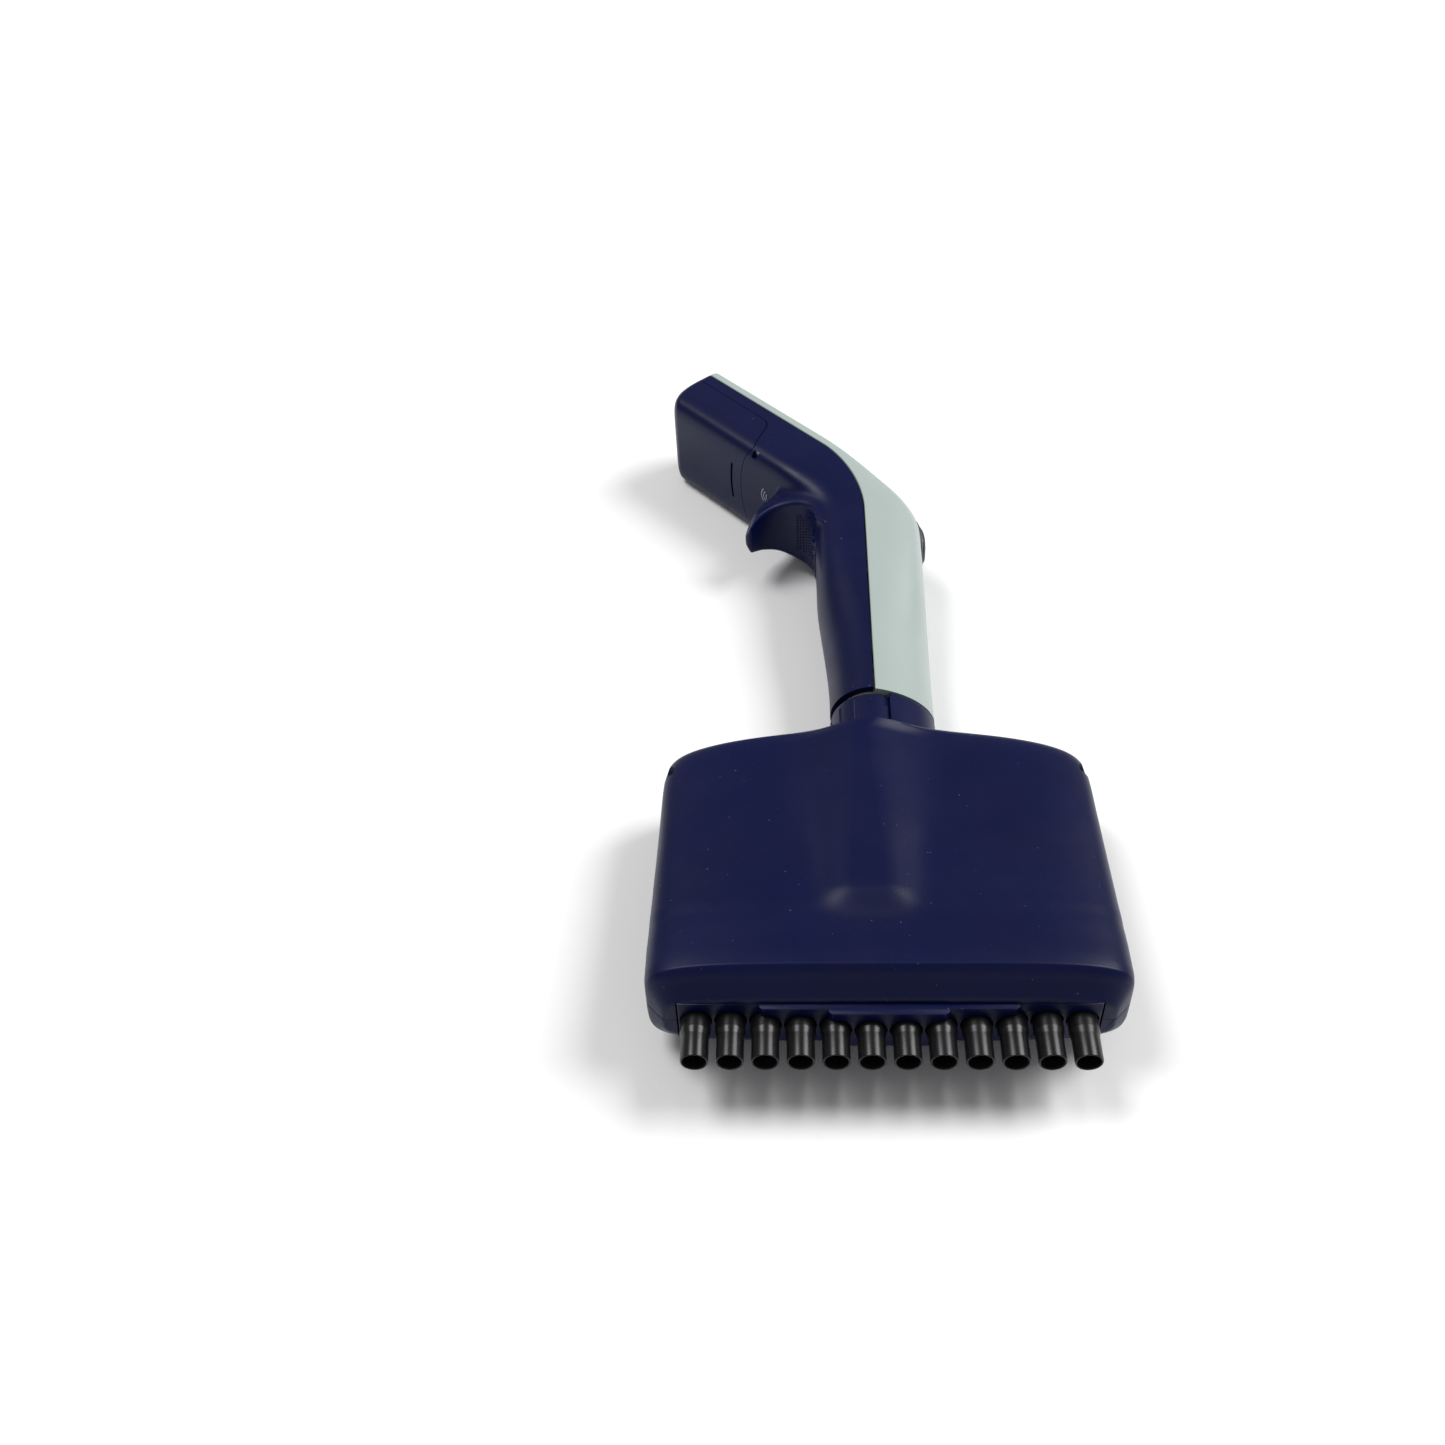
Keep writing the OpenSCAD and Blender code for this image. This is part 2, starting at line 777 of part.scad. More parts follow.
// The top edge falls away from the middle to the corners
top_fall = 7.7;
function case_y(h, q) = case_bottom + h - top_fall * pow(abs(q), 2.2) * ease((h - 50) / 46);
function rib(h, x) = let (rise = ease((h - 19) / 11), low = lookup(h, [for (s = case_stations) [s[0], s[2]]]))
    rise * max(0, rib_t + rib_over - 1.2 * pow(max(0, h - 92), 1.3) - low)
        * exp(-pow(abs(x - rib_x * (1 - ease((h - 88) / 7))) / between(h, 30, 80, 11.5, 14), between(h, 30, 80, 3.6, 2)));
function case_side(s, q, inset, up) =
    let (
        x = (s[1] - inset) * q,
        flat = (s[2] - inset) * pow(1 - pow(abs(q), case_square), 1 / case_square)
    )
    [x, case_y(s[0], q), up * (flat + rib(s[0], x))];
function case_ring(s, inset) =
    let (n = len(case_q) - 1)
    concat(
        [for (i = [n:-1:0]) case_side(s, case_q[i], inset, 1)],
        [for (i = [1:n]) case_side(s, -case_q[i], inset, 1)],
        [for (i = [n - 1:-1:0]) case_side(s, -case_q[i], inset, -1)],
        [for (i = [1:n - 1]) case_side(s, case_q[i], inset, -1)]
    );
module case_solid(inset) {
    skin([for (s = case_stations) let (h = s[0] * (1 - 2 * inset / 95.4) + inset) case_ring([h, s[1], s[2]], inset)]);
}

// Gap left between the two case halves
half_gap = 0.1;
opening_w = 54.5;
opening_t = 7.2;
side_hole_r = 2.5;
screw_boss_r = 3.3;
screw_at = [[-57.8, 34], [57.8, 34], [-56.6, 84], [56.6, 84]];

// A screw in each upper corner of the case, pointing out along the corner
module in_side(side) {
    translate([side * 55.1, 90.2, 7]) rotate([0, 0, side * 32 + (side < 0 ? 180 : 0)]) rotate([0, 90, 0])
        children();
}

module case_half(up) {
    color(navy) placed() fused() difference() {
        union() {
            difference() {
                intersection() {
                    case_solid(0);
                    lying_space();
                }
                case_solid(case_wall);
            }
            intersection() {
                case_solid(case_wall / 2);
                union() {
                    for (p = screw_at)
                        translate([p.x, p.y, -20]) cylinder(h = 40, r = screw_boss_r, $fn = 24);
                    if (up > 0)
                        for (side = [-1, 1])
                            in_side(side) translate([0, 0, -0.4]) cylinder(h = 11, r = 3.8, $fn = 24);
                }
            }
        }
        translate([0, 60, -up * 30]) cube([140, 140, 60 + half_gap], center = true);
        span([-opening_w, 0, -opening_t], [opening_w, 20, opening_t]);
        rod(90, 120, 8.4);
        for (side = [-1, 1])
            in_side(side) {
                translate([0, 0, 1.2]) cylinder(h = 20, r = side_hole_r, $fn = 24);
                translate([0, 0, -3]) cylinder(h = 5, r = 1.1, $fn = 24);
            }
        for (p = screw_at) {
            translate([p.x, p.y, -30]) cylinder(h = 24, r = 2.6, $fn = 24);
            translate([p.x, p.y, -30]) cylinder(h = 37.2, r = 1.4, $fn = 24);
        }
    }
}
module front_case() {
    case_half(1);
}
module rear_case() {
    case_half(-1);
}

// Screws that hold the two case halves, driven from the rear half
module case_screws() {
    color(steel) placed()
        for (p = screw_at)
            translate([p.x, p.y, -8]) difference() {
                union() {
                    cylinder(h = 15, r = 1.2);
                    cylinder(h = 1.8, r = 2.4);
                }
                translate([0, 0, -1]) cylinder(h = 2, r = 1.1, $fn = 6);
            }
}

module side_screws() {
    color(black) placed()
        for (side = [-1, 1])
            in_side(side) {
                translate([0, 0, 1.2]) cylinder(h = 1.4, r = 2);
                translate([0, 0, -1.4]) cylinder(h = 2.6, r = 1);
            }
}

// ---------- manifold inside ----------

function channel_x(i) = (i - (channels - 1) / 2) * pitch;
block_from = 22;
block_to = 50;
rod_x = 36;
rod_r = 1.5;
post_x = 27;
post_z = 5.2;
post_r = 1.25;
piston_r = 1.6;
seal_r = 2.7;
plate_from = 66;
plate_to = 72;
bridge_from = 93.5;
bridge_to = 98;
half_row = (channels - 1) / 2 * pitch;
block_w = 54;

module top_bridge() {
    color(ivory) placed() difference() {
        union() {
            span([-40, bridge_from, -5.5], [40, bridge_to, 5.5]);
            rod(bridge_from, bridge_to, 9.6);
        }
        rod(bridge_from - 1, bridge_to + 1, 3.4);
        for (side = [-1, 1])
            translate([side * rod_x, 0, 0]) rod(bridge_from - 1, bridge_to - 1, rod_r);
    }
}

module guide_rods() {
    color(steel) placed()
        for (side = [-1, 1])
            translate([side * rod_x, 0, 0]) rod(block_to - 8, bridge_to - 1, rod_r);
}

module plunger_rod() {
    color(steel) placed() {
        rod(plate_to - 3, coupler_from - 0.3, 2.9);
        rod(plate_to, plate_to + 1.2, 5);
    }
}

module piston_plate() {
    color([0.65, 0.67, 0.70]) placed() difference() {
        span([-half_row - 2.8, plate_from, -6.5], [half_row + 2.8, plate_to, 6.5]);
        translate([0, 0, 0]) rod(plate_to - 3, plate_to + 1, 2.9);
        for (side = [-1, 1])
            translate([side * rod_x, 0, 0]) rod(plate_from - 1, plate_to + 1, 2.5);
        for (i = [0:channels - 1])
            translate([channel_x(i), 0, 0]) rod(plate_from - 1, plate_from + 2.5, piston_r);
    }
}

module plate_bushes() {
    color(brass) placed()
        for (side = [-1, 1])
            translate([side * rod_x, 0, 0]) sleeve(plate_from - 0.5, plate_to + 0.5, 2.5, rod_r + fit);
}

module pistons() {
    color(steel) placed()
        for (i = [0:channels - 1])
            translate([channel_x(i), 0, 0]) rod(27.5, plate_from + 2.5, piston_r);
}

module piston_seals() {
    color(black) placed()
        for (i = [0:channels - 1])
            translate([channel_x(i), 0, 0]) sleeve(block_to - 3.2, block_to, seal_r, piston_r + fit);
}

module cylinder_block() {
    color([0.80, 0.80, 0.78]) placed() difference() {
        span([-block_w, block_from, -7.4], [block_w, block_to, 7.4]);
        for (i = [0:channels - 1])
            translate([channel_x(i), 0, 0]) {
                rod(block_from - 1, block_to + 1, piston_r + 0.4);
                rod(block_from - 1, block_from + 5, 3.1);
                rod(block_to - 3.2, block_to + 1, seal_r);
            }
        for (side = [-1, 1])
            translate([side * rod_x, 0, 0]) rod(block_to - 8, block_to + 1, rod_r);
        for (x = [-post_x, post_x])
            for (z = [-post_z, post_z])
                translate([x, 0, z]) rod(block_from - 1, block_to + 1, post_r + fit);
    }
}

module nozzle_plate() {
    color([0.30, 0.31, 0.34]) placed() difference() {
        span([-block_w, 17.4, -7.4], [block_w, block_from, 7.4]);
        for (i = [0:channels - 1])
            translate([channel_x(i), 0, 0]) {
                rod(16, block_from + 1, 3.5);
                rod(block_from - 1.9, block_from + 1, 4.2);
            }
        for (x = [-post_x, post_x])
            for (z = [-post_z, post_z])
                translate([x, 0, z]) rod(16, block_from + 1, post_r + 0.15);
    }
}

module nozzle_seals() {
    color([0.25, 0.12, 0.10]) placed()
        for (i = [0:channels - 1])
            translate([channel_x(i), 0, 0]) sleeve(block_from + 4.62, block_from + 4.98, 3, 1.95);
}

// One nozzle: land, shoulder, root, flange and stub, with the air bore
module nozzle() {
    rotate([-90, 0, 0]) rotate_extrude()
        polygon([[3.0, 0], [land_r - 0.25, 0], [land_r, 0.5], [land_r, land_len + 0.5], [3.95, 8.7], [3.95, 16.6],
            [3.45, 17.2], [3.45, block_from - 1.8], [4.15, block_from - 1.8], [4.15, block_from],
            [3.05, block_from], [3.05, block_from + 4.6], [1.9, block_from + 4.6], [1.9, 15],
            [1.0, 14], [1.0, 11], [2.7, 9.5]]);
}
module nozzles() {
    color(black) placed()
        for (i = [0:channels - 1])
            translate([channel_x(i), 0, 0]) nozzle();
}

// ---------- tip stripper ----------

step_h = 1.6;
bar_w = 54.2;
bar_t = 7.05;
module stripper_bar() {
    color(navy) placed() difference() {
        union() {
            span([-bar_w, case_bottom - 0.2, -bar_t], [bar_w, 16.2, bar_t]);
            span([-33, case_bottom - step_h, -bar_t], [33, case_bottom, bar_t]);
            span([-15.3, case_bottom - 2 * step_h, -bar_t], [15.3, case_bottom, bar_t]);
        }
        for (i = [0:channels - 1])
            translate([channel_x(i), 0, 0]) rod(5, 18, 4.25);
        for (x = [-post_x, post_x])
            for (z = [-post_z, post_z])
                translate([x, 0, z]) rod(14.2, 18, post_r);
    }
}

spring_from = block_to + 0.2;
spring_to = 62.3;
module stripper_rods() {
    color(steel) placed()
        for (x = [-post_x, post_x])
            for (z = [-post_z, post_z])
                translate([x, 0, z]) {
                    rod(14.2, spring_to + 2, post_r);
                    rod(spring_to + 0.2, spring_to + 2, 2.4);
                }
}

module stripper_springs() {
    color(steel) placed()
        for (x = [-post_x, post_x])
            for (z = [-post_z, post_z])
                translate([x, spring_from, z]) rotate([-90, 0, 0]) coil(spring_to - spring_from, 1.85, 0.22, 5);
}

rear_shell();
front_cover();
collar_shroud();
battery_cover();
display_window();
lcd_panel();
main_board();
board_chips();
usb_port();
rfid_antenna();
buzzer();
battery_pack();
battery_contacts();
cover_latch();
flex_cable();
driver_board();
motor_housing();
motor_coils();
motor_bearings();
motor_mount();
motor_screws();
rotor_magnet();
rotor_nut();
lead_screw();
drive_coupler();
antirotation_key();
guide_rails();
thumb_bezel();
thumb_button();
thumb_spring();
thumb_switch();
trigger();
trigger_spring();
trigger_switch();
left_key();
right_key();
key_switches();
shell_screws();
swivel_bush();
release_ring();
spigot();
spigot_circlip();
top_bridge();
front_case();
rear_case();
case_screws();
side_screws();
guide_rods();
plunger_rod();
piston_plate();
plate_bushes();
pistons();
piston_seals();
cylinder_block();
nozzle_plate();
nozzle_seals();
nozzles();
stripper_bar();
stripper_rods();
stripper_springs();
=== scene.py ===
import json
import math
import bpy
import bmesh
import numpy as np
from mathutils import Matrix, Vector


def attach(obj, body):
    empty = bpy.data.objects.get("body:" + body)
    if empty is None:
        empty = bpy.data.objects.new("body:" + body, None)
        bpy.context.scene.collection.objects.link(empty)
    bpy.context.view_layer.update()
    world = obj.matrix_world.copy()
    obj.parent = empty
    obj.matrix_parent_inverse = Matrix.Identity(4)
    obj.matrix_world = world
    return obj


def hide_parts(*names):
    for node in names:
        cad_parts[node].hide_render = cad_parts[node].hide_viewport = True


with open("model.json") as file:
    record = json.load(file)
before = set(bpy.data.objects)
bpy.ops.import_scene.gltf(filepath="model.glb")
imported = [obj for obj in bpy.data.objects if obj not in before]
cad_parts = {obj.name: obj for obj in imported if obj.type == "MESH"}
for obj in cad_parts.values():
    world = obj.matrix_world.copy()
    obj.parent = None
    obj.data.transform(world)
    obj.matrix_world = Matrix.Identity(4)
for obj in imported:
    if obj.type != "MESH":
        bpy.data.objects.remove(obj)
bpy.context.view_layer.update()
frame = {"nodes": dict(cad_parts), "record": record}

NODES = frame["nodes"]

# ---------------------------------------------------------------- frame
# The part is built in millimetres with the piston axis on Y, then moved like the CAD.
FOOT = np.array([2.16, -146.37, 18.5])
MM = 0.001


def to_row(points):
    return (np.asarray(points, dtype=float) + FOOT) * MM


def make_mesh(name, points, faces, smooth=True):
    mesh = bpy.data.meshes.new(name)
    mesh.from_pydata([tuple(p) for p in to_row(points)], [], [tuple(f) for f in faces])
    mesh.validate()
    obj = bpy.data.objects.new(name, mesh)
    bpy.context.scene.collection.objects.link(obj)
    bm = bmesh.new()
    bm.from_mesh(mesh)
    bmesh.ops.remove_doubles(bm, verts=bm.verts, dist=2e-7)
    bmesh.ops.recalc_face_normals(bm, faces=bm.faces)
    bm.to_mesh(mesh)
    bm.free()
    if smooth:
        mesh.shade_smooth()
    return obj


def loft(name, loops, smooth=True, caps=(True, True)):
    """One closed mesh through loops that all have the same number of points."""
    count = len(loops[0])
    points = np.concatenate(loops)
    faces = [list(range(count - 1, -1, -1))] if caps[0] else []
    for i in range(len(loops) - 1):
        a, b = i * count, (i + 1) * count
        for j in range(count):
            k = (j + 1) % count
            faces.append((a + j, a + k, b + k, b + j))
    last = (len(loops) - 1) * count
    if caps[1]:
        faces.append(list(range(last, last + count)))
    return make_mesh(name, points, faces, smooth)


def lathe(profile, centre, segments=64):
    """Points and faces of a closed ring profile [(radius, y)] turned round the Y direction."""
    profile = np.asarray(profile, dtype=float)
    count = len(profile)
    points, faces = [], []
    for s in range(segments):
        a = 2 * math.pi * s / segments
        for r, y in profile:
            points.append((centre[0] + r * math.cos(a), centre[1] + y, centre[2] + r * math.sin(a)))
    for s in range(segments):
        a, b = s * count, ((s + 1) % segments) * count
        for j in range(count):
            k = (j + 1) % count
            faces.append((a + j, b + j, b + k, a + k))
    return points, faces


def prism(name, outline, z0, z1):
    """A prism over an outline of (x, y) points."""
    low = [(x, y, z0) for x, y in outline]
    high = [(x, y, z1) for x, y in outline]
    return loft(name, [np.array(low), np.array(high)], smooth=False)


def apply_modifiers(obj):
    depsgraph = bpy.context.evaluated_depsgraph_get()
    mesh = bpy.data.meshes.new_from_object(obj.evaluated_get(depsgraph))
    old = obj.data
    obj.modifiers.clear()
    obj.data = mesh
    mesh.name = obj.name
    bpy.data.meshes.remove(old)


def carve(obj, *tools, mode="DIFFERENCE"):
    """Cuts obj by each tool in turn, and removes the tools."""
    for tool in tools:
        step = obj.modifiers.new("cut", "BOOLEAN")
        step.operation = mode
        step.solver = "EXACT"
        step.object = tool
        apply_modifiers(obj)
    for tool in tools:
        bpy.data.objects.remove(tool)
    return obj


def soften(obj, angle=32):
    """Smooth shading with hard edges above an angle."""
    bm = bmesh.new()
    bm.from_mesh(obj.data)
    bmesh.ops.dissolve_degenerate(bm, edges=bm.edges, dist=1e-6)
    limit = math.radians(angle)
    for e in bm.edges:
        e.smooth = not (len(e.link_faces) == 2 and e.calc_face_angle(0) > limit)
    for face in bm.faces:
        face.smooth = True
    bm.to_mesh(obj.data)
    bm.free()


def bevel(obj, width, segments=2, angle=35):
    step = obj.modifiers.new("bevel", "BEVEL")
    step.width = width * MM
    step.segments = segments
    step.limit_method = "ANGLE"
    step.angle_limit = math.radians(angle)
    step.use_clamp_overlap = True
    step.harden_normals = False
    apply_modifiers(obj)


# ---------------------------------------------------------------- shape rules, as in the CAD
def ease(x):
    t = np.clip(x, 0, 1)
    return t * t * (3 - 2 * t)


def between(x, x0, x1, a, b):
    return a + (b - a) * ease((x - x0) / (x1 - x0))


def soft_min(a, b, k):
    h = max(k - abs(a - b), 0) / k
    return min(a, b) - h * h * k / 4


BEND_FROM, BEND_R, BEND = 209.0, 52.0, math.radians(42)
BEND_LEN = BEND_R * BEND
BEND_END = BEND_FROM + BEND_LEN
HEAD_LEN, HEAD_W, HEAD_FRONT, HEAD_BACK = 64.5, 18.62, 4.0, 21.4
SEAM_X, COLLAR_R, GRIP_FRONT, GRIP_BACK, WALL = 1.0, 12.5, 19.3, 16.4, 2.0
FLAT = 18.5
END_R = 4.0
BODY_END = BEND_END + HEAD_LEN
ALONG = np.array([-math.sin(BEND), math.cos(BEND)])
TO_FRONT = np.array([math.cos(BEND), math.sin(BEND)])
ELBOW = np.array([SEAM_X - BEND_R * (1 - math.cos(BEND)), BEND_FROM + BEND_R * math.sin(BEND)])


def turn(t):
    return min(max((t - BEND_FROM) / BEND_LEN, 0), 1) * BEND


def seam(t):
    if t < BEND_FROM:
        return np.array([SEAM_X, t])
    if t < BEND_END:
        a = turn(t)
        return np.array([SEAM_X - BEND_R * (1 - math.cos(a)), BEND_FROM + BEND_R * math.sin(a)])
    return ELBOW + (t - BEND_END) * ALONG


def half_width(t):
    if t < BEND_FROM:
        return between(t, 124, BEND_FROM, COLLAR_R, 16.2)
    return between(t, BEND_FROM, BEND_END + 4, 16.2, HEAD_W)


def front_depth(t):
    if t >= BEND_END:
        return HEAD_FRONT
    a = turn(t)
    b = BEND - a
    grip = (between(t, 124, 185, GRIP_FRONT - 0.8, GRIP_FRONT) + BEND_R * (1 - math.cos(a))) / math.cos(a)
    if t < BEND_FROM:
        head = (HEAD_FRONT + BEND_R * (1 - math.cos(BEND))) / math.cos(BEND)
        head = head + (BEND_FROM - t) * math.tan(BEND)
    else:
        head = (HEAD_FRONT + BEND_R * (1 - math.cos(b))) / math.cos(b)
    return soft_min(grip, head, 8.5)


def back_depth(t):
    if t >= BEND_END:
        return HEAD_BACK
    a = turn(t)
    b = BEND - a
    grip = (between(t, 128, 182, COLLAR_R + 0.8, GRIP_BACK) - BEND_R * (1 - math.cos(a))) / math.cos(a)
    if t < BEND_FROM:
        head = (HEAD_BACK - BEND_R * (1 - math.cos(BEND))) / math.cos(BEND)
        head = head - (BEND_FROM - t) * math.tan(BEND)
    else:
        head = (HEAD_BACK - BEND_R * (1 - math.cos(b))) / math.cos(b)
    return -soft_min(-grip, -head, 7)


def squareness(t):
    return between(t, 150, BEND_FROM, 2, 4) if t < BEND_FROM else between(t, BEND_FROM, BEND_END, 4, 7.5)


def end_shift(t, v):
    return -4.5 * np.clip(v / HEAD_BACK, 0, 1) ** 3 * ease((t - BEND_END - 38) / 26)


def place_section(t, q, z):
    """Points at distance t along the seam, q in front of it and z to the side."""
    q = np.asarray(q, dtype=float)
    a = turn(t)
    shift = end_shift(t, -q)
    x = seam(t)[0] + q * math.cos(a) - shift * math.sin(BEND)
    y = seam(t)[1] + q * math.sin(a) + shift * math.cos(BEND)
    return np.stack([x, y, np.clip(z, -FLAT, FLAT)], 1)


def even(points, count):
    """count points, evenly spaced along a polyline."""
    points = np.asarray(points, dtype=float)
    steps = np.r_[0, np.cumsum(np.linalg.norm(np.diff(points, axis=0), axis=1))]
    at = np.linspace(0, steps[-1], count)
    return np.stack([np.interp(at, steps, points[:, k]) for k in range(points.shape[1])], 1)


def quarter(depth, width, power, q_from, count):
    """From the middle of the front to the seam edge: (q, z), cut where q falls to q_from."""
    s = np.linspace(0, 1, 900)
    q = depth * (1 - s ** 3)
    z = width * np.maximum(1 - (q / depth) ** power, 0) ** (1 / power)
    keep = q >= q_from
    z_from = width * max(1 - (q_from / depth) ** power, 0) ** (1 / power)
    return even(np.stack([np.r_[q[keep], q_from], np.r_[z[keep], z_from]], 1), count)


def half_loop(t, inset, gap, side, hollow, lip=0.35, fine=44):
    """Closed section of one half of the body: outer arc, rounded lip, inner arc.

    side is 1 for the front half.
    """
    depth = (front_depth(t) if side > 0 else back_depth(t)) - inset
    width = half_width(t) - inset
    power = squareness(t)
    lip = min(lip, depth / 3)
    outer = quarter(depth, width, power, gap + lip, fine)
    edge_z = min(outer[-1][1], FLAT)
    turns = np.linspace(0, math.pi / 2, 6)[1:]
    fillet = np.stack([gap + lip * (1 - np.sin(turns)), edge_z - lip * (1 - np.cos(turns))], 1)
    inner_z = min(half_width(t) - WALL, edge_z - lip - 0.4)
    if hollow:
        inner_depth = max((front_depth(t) if side > 0 else back_depth(t)) - WALL, gap + 0.5)
        inner = quarter(inner_depth, inner_z, power, gap, fine)[::-1]
    else:
        inner = np.stack([np.full(fine, gap), np.linspace(inner_z, 0.0, fine)], 1)
    right = np.concatenate([outer, fillet, inner])
    left = right[::-1][1:-1] * [1, -1]
    loop = np.concatenate([right, left])
    return place_section(t, side * loop[:, 0], loop[:, 1])


def full_loop(t, inset, count=120):
    power, width = squareness(t), half_width(t) - inset
    front = quarter(front_depth(t) - inset, width, power, 0.02, count // 4)
    back = quarter(back_depth(t) - inset, width, power, 0.02, count // 4)
    loop = np.concatenate([
        front, (back * [-1, 1])[::-1], (back * [-1, -1])[1:], (front * [1, -1])[::-1][:-1]])
    return place_section(t, loop[:, 0], loop[:, 1])


def body_stations(t0, step, inset):
    ts = list(np.arange(t0, BODY_END - inset - END_R, step))
    out = [(t, inset) for t in ts]
    for a in np.radians(np.linspace(0, 86, 9)):
        out.append((BODY_END - inset - END_R + END_R * math.sin(a), inset + END_R * (1 - math.cos(a))))
    return out


def body_solid(name, t0, inset, step=1.2, count=120):
    loops = [full_loop(t, i, count) for t, i in body_stations(t0, step, inset)]
    return loft(name, loops + [loops[-1] * [1, 1, 0]], caps=(True, False))


def seam_prism(name, gap, far=60):
    """Everything in front of the seam."""
    ts = [100, BEND_FROM] + [BEND_FROM + BEND_LEN * k / 60 for k in range(1, 61)] + [BODY_END + 30]
    line = [seam(t) + gap * np.array([math.cos(turn(t)), math.sin(turn(t))]) for t in ts]
    return prism(name, line + [np.array([far, 330.0]), np.array([far, 100.0])], -30, 30)


def head_xy(u, v):
    """Head coordinates (u along the head, v behind the seam) to x and y."""
    return ELBOW + u * ALONG - v * TO_FRONT


def rounded_path(points, radii, steps=8):
    """A polyline with its corners rounded."""
    pts = [np.array(p, dtype=float) for p in points]
    out = [pts[0]]
    for i in range(1, len(pts) - 1):
        a, b, c = pts[i - 1], pts[i], pts[i + 1]
        ab, cb = (a - b) / np.linalg.norm(a - b), (c - b) / np.linalg.norm(c - b)
        r = radii[i]
        if r <= 0:
            out.append(b)
            continue
        for s in np.linspace(0, 1, steps):
            out.append((1 - s) ** 2 * (b + ab * r) + 2 * s * (1 - s) * b + s * s * (b + cb * r))
    out.append(pts[-1])
    return out


# The battery cover's edge across the back is an arch about a point on the head's middle line
ARCH_U, ARCH_R = -15.4, 36


def door_prism(name, gap):
    """The battery cover's side of its parting line."""
    corners = [(15, 40), (15, 20.4), (16.6, 17.4), (22.7, 5), (92, 5), (92, 40)]
    side = rounded_path(corners, [0, 1, 1, 4, 0, 0], 10)
    outline = [head_xy(u + gap, v + gap) for u, v in side]
    door = prism(name, outline, -30, 30)
    rings = []
    for v in (10.0, 45.0):
        ring = []
        for a in np.linspace(0, 2 * math.pi, 160, endpoint=False):
            x, y = head_xy(ARCH_U + (ARCH_R + gap) * math.cos(a), v)
            ring.append((x, y, (ARCH_R + gap) * math.sin(a)))
        rings.append(np.array(ring))
    return carve(door, loft(name + "_arch", rings, smooth=False))


def span(name, low, high):
    x0, y0, z0 = low
    x1, y1, z1 = high
    return prism(name, [(x0, y0), (x1, y0), (x1, y1), (x0, y1)], z0, z1)


def head_box(name, u0, u1, v0, v1, z0, z1):
    return prism(name, [head_xy(u0, v0), head_xy(u1, v0), head_xy(u1, v1), head_xy(u0, v1)], z0, z1)


def head_disc(name, u, z, v0, v1, radius, count=48):
    rings = []
    for v in (v0, v1):
        rings.append(np.array([(*head_xy(u + radius * math.cos(a), v), z + radius * math.sin(a))
                               for a in np.linspace(0, 2 * math.pi, count, endpoint=False)]))
    return loft(name, rings, smooth=False)


# ---------------------------------------------------------------- materials
class Paint:
    """A node material with the usual procedural parts."""

    def __init__(self, name):
        self.mat = bpy.data.materials.new(name)
        self.mat.use_nodes = True
        self.tree = self.mat.node_tree
        self.shader = self.tree.nodes["Principled BSDF"]
        self.coords = self.tree.nodes.new("ShaderNodeTexCoord").outputs["Object"]

    def node(self, kind, **values):
        n = self.tree.nodes.new(kind)
        for key, value in values.items():
            if key in n.inputs:
                n.inputs[key].default_value = value
            else:
                setattr(n, key, value)
        return n

    def link(self, a, b):
        self.tree.links.new(a, b)

    def noise(self, scale, detail=3.0, rough=0.5, stretch=None):
        n = self.node("ShaderNodeTexNoise", Scale=scale, Detail=detail, Roughness=rough)
        vector = self.coords
        if stretch is not None:
            m = self.node("ShaderNodeMapping")
            m.inputs["Scale"].default_value = stretch
            self.link(self.coords, m.inputs["Vector"])
            vector = m.outputs["Vector"]
        self.link(vector, n.inputs["Vector"])
        return n.outputs["Fac"]

    def ramp(self, source, stops, out="Color"):
        n = self.tree.nodes.new("ShaderNodeValToRGB")
        while len(n.color_ramp.elements) < len(stops):
            n.color_ramp.elements.new(0.5)
        for e, (pos, col) in zip(n.color_ramp.elements, stops):
            e.position = pos
            e.color = (*col, 1) if len(col) == 3 else col
        self.link(source, n.inputs["Fac"])
        return n.outputs[out]

    def mix(self, fac, a, b):
        n = self.node("ShaderNodeMix", data_type="RGBA")
        for socket, value in ((n.inputs[0], fac), (n.inputs[6], a), (n.inputs[7], b)):
            if hasattr(value, "links"):
                self.link(value, socket)
            else:
                socket.default_value = value if not isinstance(value, tuple) else (*value, 1)
        return n.outputs[2]

    def bump(self, source, strength, distance, under=None):
        n = self.node("ShaderNodeBump", Strength=strength, Distance=distance)
        self.link(source, n.inputs["Height"])
        if under is not None:
            self.link(under, n.inputs["Normal"])
        return n.outputs["Normal"]


